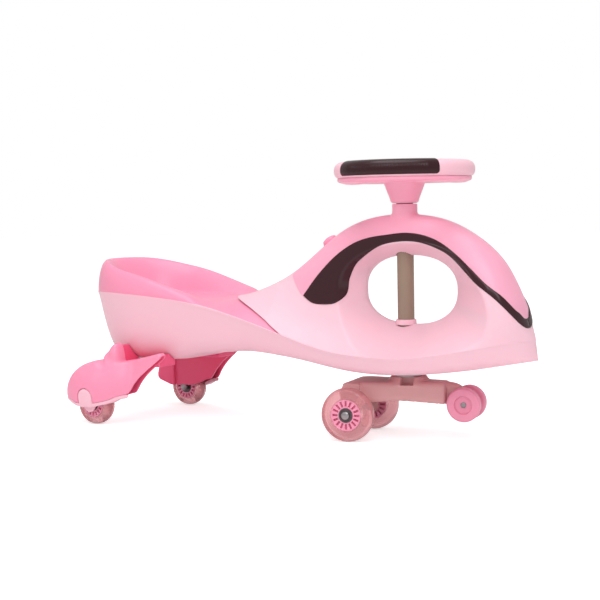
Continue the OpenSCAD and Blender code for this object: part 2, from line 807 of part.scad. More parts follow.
module front_bogie() {
  color(salmon)
    steered()
      difference() {
        union() {
          difference() {
            intersection() {
              hull() bogie_plan(safety_height - skirt, deck_z, 0);
              crosswise_block();
            }
            hull() bogie_plan(0, deck_z - bogie_wall, bogie_wall);
          }
          translate([-front_axle_back, 0, front_r])
            crosswise(lug_r, -axle_half, axle_half);
          translate([lug_in - front_axle_back - lug_r, -axle_half, front_r])
            cube([2 * (lug_r - lug_in), 2 * axle_half, deck_z - bogie_wall / 2 - front_r]);
          translate([safety_ahead, 0, safety_height])
            crosswise(safety_half, -safety_half, safety_half);
          cylinder_from(socket_r, safety_height - skirt, bogie_top);
        }
        for (s = [0, 1])
          mirror([0, s, 0])
            translate([safety_ahead, 0, safety_height])
              crosswise(safety_d / 2 + 2 * air_gap, safety_half, front_track);
        cylinder_from(column_r + push_fit, 0, belly_height);
        pin_bore(push_fit);
        translate([-front_axle_back, 0, front_r])
          crosswise(axle_d / 2 + push_fit, -front_track, front_track);
        translate([safety_ahead, 0, safety_height])
          crosswise(safety_pin_r + push_fit, -safety_track, safety_track);
      }
}
// The sides of the bogie stay inside the faces of its lugs
module crosswise_block() {
  translate([-front_axle_back - 2 * corner_r, -axle_half, 0])
    cube([front_axle_back + safety_ahead + 4 * corner_r, 2 * axle_half, bogie_top]);
}
module bogie_pin() {
  color(steel)
    steered()
      translate([0, 0, pin_z])
        crosswise(pin_r, -socket_r, socket_r);
}
nut_high = 6.5;
nut_r = 1.75 * axle_d / 2;
wheel_out = front_track / 2 + tread_width / 2;
module front_axle() {
  color(steel)
    steered()
      translate([-front_axle_back, 0, front_r]) {
        crosswise(axle_d / 2, -wheel_out, wheel_out + nut_high + air_gap);
        translate([0, -wheel_out - nut_high, 0])
          rotate([-90, 0, 0])
            cylinder(r = nut_r, h = nut_high, $fn = 6);
      }
}
module front_nut() {
  color(steel)
    steered()
      translate([-front_axle_back, wheel_out + push_fit, front_r])
        rotate([-90, 0, 0])
          difference() {
            cylinder(r = nut_r, h = nut_high, $fn = 6);
            translate([0, 0, -nut_high])
              cylinder(r = axle_d / 2 + push_fit, h = 3 * nut_high);
          }
}
module front_washers() {
  color(steel)
    steered()
      for (s = [-1, 1])
        translate([-front_axle_back, s * (axle_half + washer_space / 2), front_r])
          rotate([90, 0, 0])
            difference() {
              cylinder(r = axle_d, h = washer_space - 2 * push_fit, center = true);
              cylinder(r = axle_d / 2 + push_fit, h = 2 * washer_space, center = true);
            }
}
safety_out = safety_track / 2 + safety_width / 2;
safety_head = 3;
safety_nut_high = 4;
module safety_axle() {
  color(steel)
    steered()
      translate([safety_ahead, 0, safety_height]) {
        crosswise(safety_pin_r, -safety_out - safety_head / 2, safety_out + safety_nut_high + air_gap);
        crosswise(2 * safety_pin_r, -safety_out - safety_head, -safety_out - push_fit);
      }
}
module safety_nut() {
  color(steel)
    steered()
      translate([safety_ahead, safety_out + push_fit, safety_height])
        rotate([-90, 0, 0])
          difference() {
            cylinder(r = 2 * safety_pin_r, h = safety_nut_high, $fn = 6);
            translate([0, 0, -safety_nut_high])
              cylinder(r = safety_pin_r + push_fit, h = 3 * safety_nut_high);
          }
}

// Wheels: a cast tyre on a slotted hub that runs on two ball bearings
hub_slots = 18;
hub_face = 1;
hub_rim = 2.4;
hub_ring = 1.4;
hub_stop = 2;
web_in = 4;
slot_wide = 2.2;
slot_edge = 0.6;
module tyre(outer, inner) {
  rotate([90, 0, 0])
    rotate_extrude()
      difference() {
        translate([outer - tread_width, 0])
          intersection() {
            circle(r = tread_width);
            translate([-outer, -tread_width / 2])
              square([2 * outer, tread_width]);
          }
        translate([-2 * outer, -tread_width])
          square([2 * outer + inner, 2 * tread_width]);
      }
}
module hub(outer) {
  slot_from = bearing_d / 2 + hub_ring + slot_edge;
  slot_to = outer - hub_rim - slot_edge;
  rotate([90, 0, 0])
    difference() {
      union() {
        difference() {
          cylinder(r = outer - push_fit, h = tread_width - 2 * hub_face, center = true);
          cylinder(r = outer - hub_rim, h = tread_width, center = true);
        }
        cylinder(r = bearing_d / 2 + hub_ring, h = tread_width - hub_face, center = true);
        difference() {
          cylinder(r = outer - hub_rim / 2, h = tread_width - 2 * web_in, center = true);
          for (i = [0 : hub_slots - 1])
            rotate([0, 0, i * 360 / hub_slots])
              translate([slot_from, -slot_wide / 2, -tread_width])
                cube([slot_to - slot_from, slot_wide, 2 * tread_width]);
        }
      }
      cylinder(r = bearing_d / 2 - hub_stop, h = 2 * tread_width, center = true);
      for (s = [-1, 1])
        translate([0, 0, s * (tread_width - bearing_width) / 2])
          cylinder(r = bearing_d / 2 + push_fit, h = bearing_width + push_fit, center = true);
    }
}
module bearings() {
  for (s = [-1, 1])
    translate([0, s * (tread_width - bearing_width) / 2, 0])
      rotate([90, 0, 0])
        difference() {
          cylinder(r = bearing_d / 2, h = bearing_width - 2 * push_fit, center = true);
          cylinder(r = axle_d / 2 + run_fit, h = 2 * bearing_width, center = true);
        }
}
front_hub_share = 0.54;
rear_hub_share = 0.62;
front_hub_r = front_hub_share * front_r;
rear_hub_r = rear_hub_share * rear_r;
groove_from = 0.42;
groove_wide = 0.3;
groove_deep = 2.4;
module at_front_wheel(side) {
  steered() translate([-front_axle_back, side * front_track / 2, front_r]) children();
}
module at_rear_wheel(side) {
  at_column() translate([-rear_axle_back, side * rear_half, rear_r]) children();
}
module front_tyre(side) {
  color(salmon) at_front_wheel(side) tyre(front_r, front_hub_r);
}
module front_hub(side) {
  color(mid_pink) at_front_wheel(side) hub(front_hub_r);
}
module front_bearings(side) {
  color(steel) at_front_wheel(side) bearings();
}
module rear_tyre(side) {
  color(salmon) at_rear_wheel(side) tyre(rear_r, rear_hub_r);
}
module rear_hub(side) {
  color(mid_pink) at_rear_wheel(side) hub(rear_hub_r);
}
module rear_bearings(side) {
  color(steel) at_rear_wheel(side) bearings();
}
module safety_wheel(side) {
  color(mid_pink)
    steered()
      translate([safety_ahead, side * safety_track / 2, safety_height])
        rotate([90, 0, 0])
          rotate_extrude()
            difference() {
              translate([safety_pin_r + run_fit, -safety_width / 2])
                square([safety_d / 2 - safety_pin_r - run_fit, safety_width]);
              for (s = [-1, 1])
                translate([groove_from * safety_d / 2, s * safety_width / 2 - groove_deep / 2])
                  square([groove_wide * safety_d / 2, groove_deep]);
            }
}

// Rear legs: a domed cover over each rear wheel, with an arm and a foot under the body
cover_in = rear_half - cover_width / 2 + 1;
cover_out = cover_in + cover_width;
cover_r = 22;
cover_reach = rear_r - 7;
dome_base = rear_wheel_d;
dome_rise = 36;
module cover_plan(inset, low, high, dome) {
  hull() {
    for (x = [-cover_reach, cover_reach], y = [cover_in + cover_r, cover_out - cover_r])
      translate([x - rear_axle_back, y, low]) {
        cylinder(r = cover_r - inset, h = high - low, $fn = 16);
        if (dome)
          translate([0, 0, high - low])
            sphere(r = cover_r - inset, $fn = 16);
      }
    if (dome)
      translate([-rear_axle_back, rear_half, dome_base + dome_rise - cover_r])
        sphere(r = cover_r - inset, $fn = 16);
  }
}
knuckle = [30 - rear_axle_back, rear_half - 20, dome_base + 33];
knuckle_r = 24;
arm_near = [18 - rear_axle_back, rear_half - 10, dome_base + 6];
arm_near_r = 26;
arm_mid = [62 - rear_axle_back, rear_half - 24, belly_height - 18];
arm_mid_r = 15;
arm_end = [126 - rear_axle_back, rear_half - 36, belly_height - 4];
arm_end_r = 7;
foot_r = 2.2 * screw_d;
foot_thick = 6;
foot_low = belly_height - 14;
module ball(p, r) {
  translate(p) sphere(r = r, $fn = 16);
}
module at_feet(low) {
  for (p = leg_feet)
    if (p[1] > 0)
      translate([p[0], p[1], low]) children();
}
module rear_cover(side) {
  color(mid_pink)
    to_side(side)
      at_column()
        difference() {
          moulding()
            difference() {
              union() {
                cover_plan(0, cover_bottom, dome_base, true);
                hull() {
                  ball(knuckle, knuckle_r);
                  ball(arm_near, arm_near_r);
                }
                hull() {
                  ball(arm_near, arm_near_r);
                  ball(arm_mid, arm_mid_r);
                }
                hull() {
                  ball(arm_mid, arm_mid_r);
                  ball(arm_end, arm_end_r);
                  at_feet(foot_low)
                    cylinder(r = foot_r, h = belly_height - foot_low + 2 * wall, $fn = 20);
                }
              }
              cover_plan(wall, 0, dome_base, true);
              tub_form(-seam_gap);
              translate([-rear_axle_back, 0, 0])
                tab_cut();
            }
          at_feet(0)
            cylinder(r = screw_r + push_fit, h = crown_height / 2);
          head_pockets(leg_feet, wall + foot_thick + seam_gap);
        }
}
// The fork stands inside the cover, and its outer cheek shows as an arched tab in the side of the cover
tab_r = 12;
tab_rise = 6;
module tab_cut() {
  translate([0, 0, rear_r + tab_rise])
    crosswise(tab_r + seam_gap, rear_half, 2 * rear_half);
  translate([-tab_r - seam_gap, rear_half, 0])
    cube([2 * (tab_r + seam_gap), rear_half, rear_r + tab_rise]);
}
cheek = 6;
fork_gap = 4;
inner_cheek = rear_half - tread_width / 2 - fork_gap - cheek;
outer_cheek = rear_half + tread_width / 2 + fork_gap;
cheek_top = dome_base + 6;
lip_high = 7;
axle_head_r = nut_r;
axle_head = 5;
spacer_wall = 2.5;
module cheek_plate(from, to, top) {
  translate([-rear_axle_back, 0, rear_r])
    crosswise(tab_r, from, to);
  translate([-rear_axle_back - tab_r, from, rear_r])
    cube([2 * tab_r, to - from, top - rear_r]);
}
module rear_fork(side) {
  web_low = rear_wheel_d + 2 * air_gap;
  color(light_pink)
    to_side(side)
      at_column()
        difference() {
          union() {
            difference() {
              cover_plan(0, cover_bottom - lip_high, cover_bottom - seam_gap, false);
              translate([-rear_axle_back - rear_r - fork_gap, rear_half - tread_width / 2 - fork_gap + air_gap, 0])
                cube([2 * (rear_r + fork_gap), tread_width + 2 * (fork_gap - air_gap), crown_height]);
            }
            cheek_plate(inner_cheek, inner_cheek + cheek, cheek_top);
            cheek_plate(outer_cheek, outer_cheek + cheek, cheek_top);
            translate([-rear_axle_back - tab_r, inner_cheek, web_low])
              cube([2 * tab_r, outer_cheek - inner_cheek + cheek, cheek_top - web_low]);
            translate([-rear_axle_back, 0, rear_r + tab_rise])
              crosswise(tab_r, outer_cheek, cover_out - air_gap / 2);
            translate([-rear_axle_back - tab_r, outer_cheek, rear_r - tab_rise])
              cube([2 * tab_r, cover_out - air_gap / 2 - outer_cheek, 2 * tab_rise]);
          }
          translate([-rear_axle_back, 0, rear_r]) {
            crosswise(axle_d / 2 + push_fit, 0, outer_cheek + cheek);
            crosswise(axle_head_r + air_gap, 0, inner_cheek);
            crosswise(axle_d / 2 + spacer_wall + air_gap, inner_cheek + cheek, outer_cheek);
          }
        }
}
module rear_axle(side) {
  color(steel)
    to_side(side)
      at_column()
        translate([-rear_axle_back, 0, rear_r]) {
          crosswise(axle_d / 2, inner_cheek - air_gap, outer_cheek + cheek - air_gap);
          translate([0, inner_cheek - push_fit - axle_head, 0])
            rotate([-90, 0, 0])
              cylinder(r = axle_head_r, h = axle_head, $fn = 6);
        }
}
module rear_spacers(side) {
  color(steel)
    to_side(side)
      at_column()
        for (s = [-1, 1])
          translate([-rear_axle_back, rear_half + s * (tread_width / 2 + fork_gap / 2), rear_r])
            rotate([90, 0, 0])
              difference() {
                cylinder(r = axle_d / 2 + spacer_wall, h = fork_gap - 4 * push_fit, center = true);
                cylinder(r = axle_d / 2 + push_fit, h = 2 * fork_gap, center = true);
              }
}
module leg_screws() {
  color(steel)
    at_column()
      screws(leg_feet, wall + foot_thick + seam_gap);
}

lower_shell();
upper_shell();
hood();
trim_band();
seat();
horn_bezel();
horn_button();
upper_bush();
lower_bush();
thrust_washer();
shelf_collar();
body_screws();
rear_cover(left);  // rear_cover_left
rear_cover(right);  // rear_cover_right
rear_fork(left);  // rear_fork_left
rear_fork(right);  // rear_fork_right
rear_axle(left);  // rear_axle_left
rear_axle(right);  // rear_axle_right
rear_spacers(left);  // rear_spacers_left
rear_spacers(right);  // rear_spacers_right
leg_screws();
steering_wheel();
wheel_base();
grip(left);  // grip_left
grip(right);  // grip_right
hub_cap();
hub_bolt();
column_tube();
column_insert();
front_bogie();
bogie_pin();
front_axle();
front_washers();
front_nut();
safety_axle();
safety_nut();
front_tyre(left);  // front_tyre_left
front_hub(left);  // front_hub_left
front_bearings(left);  // front_bearings_left
front_tyre(right);  // front_tyre_right
front_hub(right);  // front_hub_right
front_bearings(right);  // front_bearings_right
rear_tyre(left);  // rear_tyre_left
rear_hub(left);  // rear_hub_left
rear_bearings(left);  // rear_bearings_left
rear_tyre(right);  // rear_tyre_right
rear_hub(right);  // rear_hub_right
rear_bearings(right);  // rear_bearings_right
safety_wheel(left);  // safety_wheel_left
safety_wheel(right);  // safety_wheel_right
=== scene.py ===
"""Looks of a child's wiggle car, built over its packed construction as a fixed frame.

Every new piece is a surface worked out with numpy in millimetres, in a frame whose
origin is on the ground below the steering column (x forward, y to the rider's left,
z up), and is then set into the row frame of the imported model.
"""
import json
import logging
import math
from dataclasses import dataclass, replace
from enum import Enum
from typing import Callable, Sequence

import bpy
import numpy as np
from mathutils import Matrix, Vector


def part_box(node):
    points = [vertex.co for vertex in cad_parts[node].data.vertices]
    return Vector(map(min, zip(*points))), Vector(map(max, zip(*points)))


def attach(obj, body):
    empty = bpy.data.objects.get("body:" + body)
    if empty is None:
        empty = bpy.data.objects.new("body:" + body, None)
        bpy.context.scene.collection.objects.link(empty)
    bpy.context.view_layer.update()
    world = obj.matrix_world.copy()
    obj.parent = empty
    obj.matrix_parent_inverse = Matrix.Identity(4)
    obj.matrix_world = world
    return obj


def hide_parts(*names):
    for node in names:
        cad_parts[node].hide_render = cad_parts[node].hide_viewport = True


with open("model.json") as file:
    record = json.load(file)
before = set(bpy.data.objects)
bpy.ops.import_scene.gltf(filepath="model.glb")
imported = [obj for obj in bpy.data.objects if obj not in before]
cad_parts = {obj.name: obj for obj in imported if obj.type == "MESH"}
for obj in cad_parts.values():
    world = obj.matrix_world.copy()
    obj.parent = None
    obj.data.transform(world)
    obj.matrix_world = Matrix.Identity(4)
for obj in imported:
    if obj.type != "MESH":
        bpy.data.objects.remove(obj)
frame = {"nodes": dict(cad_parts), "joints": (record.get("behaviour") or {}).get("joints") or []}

LOG = logging.getLogger("wiggle_car")
MM = 0.001
Curve = Callable[[np.ndarray], np.ndarray]
Field = Callable[[np.ndarray, np.ndarray, np.ndarray], np.ndarray]
Points = Sequence[tuple[float, float]]
Corners = Sequence[tuple[float, float, float]]
Place = Sequence[float]


# Numbers and curves


def smooth(t: np.ndarray) -> np.ndarray:
    """Ease from 0 at t = 0 to 1 at t = 1, level at both ends: three squares less two cubes."""
    s = np.clip(t, 0.0, 1.0)
    return s * s * (3.0 - 2.0 * s)


def blend(a: np.ndarray, b: np.ndarray, t: np.ndarray) -> np.ndarray:
    """Straight mix of a and b, where t is the share of b."""
    return a + (b - a) * t


def shoulder(t: np.ndarray) -> np.ndarray:
    """Quarter circle that rises from 0 at t = 0 to 1 at t = 1 and stays there."""
    return np.sqrt(np.clip(1 - (1 - np.clip(t, 0, 1)) ** 2, 0, 1))


def eased(count: int) -> np.ndarray:
    """Shares from 0 to 1: half of one less the cosine of even steps over half a turn."""
    return (1 - np.cos(np.linspace(0, np.pi, count))) / 2


def soft_min(a: np.ndarray, b: np.ndarray, reach: float) -> np.ndarray:
    """Lesser of two values; within the reach of each other they melt into a round corner."""
    h = np.clip(0.5 + 0.5 * (b - a) / reach, 0.0, 1.0)
    return b * (1.0 - h) + a * h - reach * h * (1.0 - h)


def soft_max(a: np.ndarray, b: np.ndarray, reach: float) -> np.ndarray:
    """Greater of two values; within the reach of each other they melt into a round corner."""
    return -soft_min(-a, -b, reach)


def curve(x: np.ndarray, points: Points) -> np.ndarray:
    """Cubic curve through points, its slope at each taken from the two neighbours.

    Args:
        x: Places at which the curve is read; it is level outside its points.
        points: Places and heights, in rising order of place.
    Returns:
        The heights at x.
    """
    place, height = np.asarray(points, float).T
    slope = np.empty_like(height)
    slope[1:-1] = (height[2:] - height[:-2]) / (place[2:] - place[:-2])
    slope[0] = (height[1] - height[0]) / (place[1] - place[0])
    slope[-1] = (height[-1] - height[-2]) / (place[-1] - place[-2])
    at = np.clip(x, place[0], place[-1])
    i = np.clip(np.searchsorted(place, at, side="right") - 1, 0, len(place) - 2)
    h = place[i + 1] - place[i]
    t = (at - place[i]) / h
    return (
        (2 * t**3 - 3 * t**2 + 1) * height[i]
        + (t**3 - 2 * t**2 + t) * h * slope[i]
        + (3 * t**2 - 2 * t**3) * height[i + 1]
        + (t**3 - t**2) * h * slope[i + 1]
    )


def line_through(points: Points, steps: int) -> np.ndarray:
    """Smooth plane line through points, with evenly spaced places along its length.

    Args:
        points: The points that the line passes through.
        steps: How many places are returned.
    Returns:
        An array (steps, 2).
    """
    p = np.asarray(points, float)
    share = np.concatenate([[0.0], np.cumsum(np.hypot(*np.diff(p, axis=0).T))])
    fine = np.linspace(0.0, share[-1], 40 * len(p))
    q = np.stack([curve(fine, np.stack([share, p[:, k]], -1)) for k in (0, 1)], -1)
    return spaced(q, steps)


def spaced(line: np.ndarray, steps: int) -> np.ndarray:
    """The same line with evenly spaced places.

    Args:
        line: Points in order, in any number of dimensions.
        steps: How many places are returned.
    Returns:
        An array (steps, dimensions).
    """
    length = np.concatenate([[0.0], np.cumsum(np.linalg.norm(np.diff(line, axis=0), axis=1))])
    at = np.linspace(0.0, length[-1], steps)
    return np.stack([np.interp(at, length, line[:, k]) for k in range(line.shape[1])], -1)


def rounded(corners: Corners, closed: bool = True, steps: int = 6) -> np.ndarray:
    """Outline whose corners are turned into short curves.

    Args:
        corners: Place (two numbers) and reach of the rounding of each corner.
        closed: Whether the last corner joins the first.
        steps: Places on each rounded corner.
    Returns:
        An array (places, 2). Each corner is a parabola between the two points at its reach.
    """
    p = np.asarray([c[:2] for c in corners], float)
    reach = np.asarray([c[2] for c in corners], float)[:, None]
    before = np.roll(p, 1, 0) - p
    after = np.roll(p, -1, 0) - p
    span_a = np.linalg.norm(before, axis=1)[:, None]
    span_b = np.linalg.norm(after, axis=1)[:, None]
    a = p + before / span_a * np.minimum(reach, 0.49 * span_a)
    b = p + after / span_b * np.minimum(reach, 0.49 * span_b)
    t = np.linspace(0.0, 1.0, steps)[None, :, None]
    out = (1 - t) ** 2 * a[:, None] + 2 * t * (1 - t) * p[:, None] + t**2 * b[:, None]
    if not closed:
        out[0], out[-1] = p[0], p[-1]
    return out.reshape(-1, 2)


# Surfaces


@dataclass
class Surface:
    """Points and four-sided faces of a piece, in millimetres.

    A face with three corners names one of them twice.
    """

    points: np.ndarray
    faces: np.ndarray

    @staticmethod
    def grid(points: np.ndarray, close_rows: bool = False, close_columns: bool = False) -> "Surface":
        """Surface over a grid of points.

        Args:
            points: Array (rows, columns, 3).
            close_rows: Whether the last row joins the first.
            close_columns: Whether the last column joins the first.
        Returns:
            The surface, with a face between each four neighbours.
        """
        rows, columns = points.shape[:2]
        n = np.arange(rows * columns).reshape(rows, columns)
        if close_rows:
            n = np.vstack([n, n[:1]])
        if close_columns:
            n = np.hstack([n, n[:, :1]])
        faces = np.stack([n[:-1, :-1], n[1:, :-1], n[1:, 1:], n[:-1, 1:]], -1)
        return Surface(points.reshape(-1, 3).astype(float), faces.reshape(-1, 4))

    @staticmethod
    def revolved(profile: np.ndarray, steps: int, closed: bool = True) -> "Surface":
        """Surface of revolution about the z axis.

        Args:
            profile: Array (places, 2) of radius and height.
            steps: Places round the axis.
            closed: Whether the profile is a closed outline.
        Returns:
            The surface: each place of the profile carried round a circle.
        """
        turn = np.linspace(0.0, 2 * np.pi, steps, endpoint=False)[:, None]
        r, z = profile[None, :, 0], profile[None, :, 1]
        points = np.stack([r * np.cos(turn), r * np.sin(turn), z + 0 * turn], -1)
        return Surface.grid(points, close_rows=True, close_columns=closed)

    def joined(self, *others: "Surface") -> "Surface":
        """One surface out of several.

        Args:
            others: The surfaces that are added to this one.
        Returns:
            The joined surface; points are not merged.
        """
        parts = (self, *others)
        start = np.cumsum([0] + [len(s.points) for s in parts[:-1]])
        return Surface(
            np.concatenate([s.points for s in parts]),
            np.concatenate([s.faces + k for s, k in zip(parts, start)]),
        )

    def mirrored(self) -> "Surface":
        """The same surface on the other side of the car, still facing outwards."""
        return Surface(self.points * (1, -1, 1), self.faces[:, ::-1])

    def welded(self, reach: float = 0.02) -> "Surface":
        """Points that lie together merged into one, and faces without area dropped.

        Args:
            reach: Distance within which points count as one.
        Returns:
            The merged surface.
        """
        cell = np.round(self.points / reach).astype(np.int64)
        _, first, back = np.unique(cell, axis=0, return_index=True, return_inverse=True)
        faces = back.reshape(-1)[self.faces]
        ordered = np.sort(faces, axis=1)
        kinds = 1 + np.count_nonzero(np.diff(ordered, axis=1), axis=1)
        crossed = (faces[:, 0] == faces[:, 2]) | (faces[:, 1] == faces[:, 3])
        return Surface(self.points[first], faces[(kinds >= 3) & ~crossed])

    def moved(self, shift: Place, turn: float = 0.0) -> "Surface":
        """The same surface turned about the z axis and then shifted.

        Args:
            shift: Shift in x, y and z.
            turn: Angle in radians.
        Returns:
            The moved surface.
        """
        c, s = math.cos(turn), math.sin(turn)
        axes = np.array([[c, s, 0], [-s, c, 0], [0, 0, 1]])
        return Surface(self.points @ axes + np.asarray(shift), self.faces)

    def laid(self) -> "Surface":
        """The same surface with its z axis laid along y."""
        x, y, z = self.points.T
        return Surface(np.stack([x, z, -y], -1), self.faces)

    def leaned(self, angle: float) -> "Surface":
        """The same surface with its z axis leaned to the rear.

        Args:
            angle: Angle in radians.
        Returns:
            The leaned surface.
        """
        c, s = math.cos(angle), math.sin(angle)
        x, y, z = self.points.T
        return Surface(np.stack([c * x - s * z, y, s * x + c * z], -1), self.faces)

    def pierced(self, centre: Place, axis: Place, radius: float, reach: float) -> "Surface":
        """The same surface with a round hole.

        Args:
            centre: A point on the axis of the hole.
            axis: Direction of the axis.
            radius: Radius of the hole.
            reach: How far the hole reaches along its axis to both sides of the centre.
        Returns:
            The surface without the faces inside the hole. The points on the edge of the
            hole are set out to its radius.
        """
        d = np.asarray(axis, float) / np.linalg.norm(axis)
        off = self.points - np.asarray(centre, float)
        along = off @ d
        across = off - along[:, None] * d
        r = np.linalg.norm(across, axis=1)
        inside = (r < radius) & (np.abs(along) < reach)
        points = self.points.copy()
        points[inside] += across[inside] * (radius / np.maximum(r[inside], 1e-6) - 1)[:, None]
        return Surface(points, self.faces[~inside[self.faces].all(axis=1)])

    def flipped(self) -> "Surface":
        """The same surface, facing the other way."""
        return Surface(self.points, self.faces[:, ::-1])

    def volume(self) -> float:
        """Volume inside the surface, negative if it faces inwards."""
        a, b, c, d = (self.points[self.faces[:, k]] for k in range(4))
        return float((np.cross(a, b) * c).sum() + (np.cross(a, c) * d).sum()) / 6.0

    def outward(self) -> "Surface":
        """The same closed surface, facing outwards."""
        return self if self.volume() >= 0 else self.flipped()

    def normals(self) -> np.ndarray:
        """Unit normals at the points.

        Returns:
            The mean direction of the faces round each point, as an array (points, 3).
        """
        p = self.points[self.faces]
        face = np.cross(p[:, 2] - p[:, 0], p[:, 3] - p[:, 1])
        out = np.zeros_like(self.points)
        for k in range(4):
            np.add.at(out, self.faces[:, k], face)
        return out / np.maximum(np.linalg.norm(out, axis=1), 1e-12)[:, None]


def surface_nets(field: Field, low: Place, high: Place, step: float) -> Surface:
    """Smooth closed surface where a field passes through zero.

    Args:
        field: Field that is negative inside the piece, close to a distance in millimetres.
        low: Lowest corner of the space that is searched.
        high: Highest corner of that space.
        step: Size of its cells.
    Returns:
        The surface: one point in each cell that the surface crosses, first at the mean of
        the crossings of the cell's edges, then moved along the field's slope onto it.
    """
    axes = [np.arange(a, b + step, step) for a, b in zip(low, high)]
    values = field(*np.meshgrid(*axes, indexing="ij", sparse=True))
    shape = np.array(values.shape)
    total = np.zeros((*(shape - 1), 3))
    count = np.zeros(shape - 1)
    sets = []
    for k in range(3):
        i, j = [m for m in range(3) if m != k]
        near = np.take(values, np.arange(shape[k] - 1), axis=k)
        far = np.take(values, np.arange(1, shape[k]), axis=k)
        cross = (near < 0) != (far < 0)
        cut = np.zeros_like(cross)
        window = [slice(None)] * 3
        window[i], window[j] = slice(1, -1), slice(1, -1)
        cut[tuple(window)] = cross[tuple(window)]
        at = np.argwhere(cut)
        a, b = near[cut], far[cut]
        place = at.astype(float)
        place[:, k] += a / (a - b)
        around = []
        for di, dj in ((-1, -1), (0, -1), (0, 0), (-1, 0)):
            cell = at.copy()
            cell[:, i] += di
            cell[:, j] += dj
            np.add.at(total, tuple(cell.T), place)
            np.add.at(count, tuple(cell.T), 1)
            around.append(cell)
        ring = np.stack(around, 1)
        flip = (a < 0) != (k == 1)
        ring[~flip] = ring[~flip][:, ::-1]
        sets.append(ring)
    used = count > 0
    number = np.full(used.shape, -1)
    number[used] = np.arange(used.sum())
    rings = np.concatenate(sets)
    faces = number[rings[..., 0], rings[..., 1], rings[..., 2]]
    points = total[used] / count[used][:, None] * step + np.asarray(low)
    nudge = 0.05
    shifts = nudge * np.eye(3)
    for _ in range(3):
        here = field(*points.T)
        rise = [field(*(points + s).T) - field(*(points - s).T) for s in shifts]
        slope = np.stack(rise, -1) / (2 * nudge)
        move = -(here / np.maximum((slope**2).sum(-1), 0.05))[:, None] * slope
        size = np.linalg.norm(move, axis=1)[:, None]
        points = points + move * np.minimum(1.0, 0.4 * step / np.maximum(size, 1e-9))
    return Surface(points, faces).outward()


# Fields of simple forms, in millimetres


def block(p: tuple, low: Place, high: Place, edge: float) -> np.ndarray:
    """Box with round edges.

    Args:
        p: Coordinates x, y and z.
        low: Lowest corner.
        high: Highest corner.
        edge: Radius of the edges.
    Returns:
        The distance from its surface.
    """
    x, y, z = (np.abs(c - (a + b) / 2) - (b - a) / 2 + edge for c, a, b in zip(p, low, high))
    out = np.sqrt(sum(np.maximum(o, 0.0) ** 2 for o in (x, y, z)))
    return out + np.minimum(np.maximum(np.maximum(x, y), z), 0.0) - edge


def drum(across: np.ndarray, along: np.ndarray, radius: float, half: float, edge: float) -> np.ndarray:
    """Distance from a drum with round edges, at places across and along its axis."""
    a, b = across - radius + edge, np.abs(along) - half + edge
    return np.hypot(np.maximum(a, 0.0), np.maximum(b, 0.0)) + np.minimum(np.maximum(a, b), 0.0) - edge


def outline(x: np.ndarray, z: np.ndarray, corners: np.ndarray) -> np.ndarray:
    """Upright wall along a closed line in a plane.

    Args:
        x: First coordinate in the plane.
        z: Second coordinate in the plane.
        corners: Corners of the line in order, as an array (corners, 2).
    Returns:
        The distance from the line, negative inside it. A place is inside if a ray from it
        crosses the line an odd number of times.
    """
    best = np.full(np.broadcast(x, z).shape, np.inf)
    inside = np.zeros(best.shape, bool)
    for (ax, az), (bx, bz) in zip(corners, np.roll(corners, -1, 0)):
        dx, dz = bx - ax, bz - az
        t = np.clip(((x - ax) * dx + (z - az) * dz) / (dx * dx + dz * dz + 1e-12), 0.0, 1.0)
        best = np.minimum(best, (x - ax - t * dx) ** 2 + (z - az - t * dz) ** 2)
        if abs(dz) > 1e-9:
            inside = inside ^ (((az > z) != (bz > z)) & (x < ax + dx * (z - az) / dz))
    return np.where(inside, -1.0, 1.0) * np.sqrt(best)


# Materials


def add_node(
    tree: bpy.types.NodeTree, kind: str, inputs: dict | None = None, **settings: object
) -> bpy.types.Node:
    """Adds one node to a material.

    Args:
        tree: The material's node tree.
        kind: Type name of the node.
        inputs: Values or output sockets for the node's inputs, by name or number.
        settings: Attributes of the node.
    Returns:
        The node.
    """
    node = tree.nodes.new(kind)
    for key, value in settings.items():
        setattr(node, key, value)
    for key, value in (inputs or {}).items():
        if isinstance(value, bpy.types.NodeSocket):
            tree.links.new(value, node.inputs[key])
        else:
            node.inputs[key].default_value = value
    return node


def linear(code: str) -> tuple[float, float, float, float]:
    """Linear colour of an sRGB colour.

    Args:
        code: Colour as #RRGGBB.
    Returns:
        Red, green, blue and 1 in linear light.
    """
    s = np.array([int(code[k : k + 2], 16) / 255 for k in (1, 3, 5)])
    rgb = np.where(s <= 0.04045, s / 12.92, ((s + 0.055) / 1.055) ** 2.4)
    return (*(float(c) for c in rgb), 1.0)


class Grain(Enum):
    """How the surface of a material is broken up close to."""

    MOULDED = "moulded"
    CAST = "cast"
    PLATED = "plated"
    PAINTED = "painted"


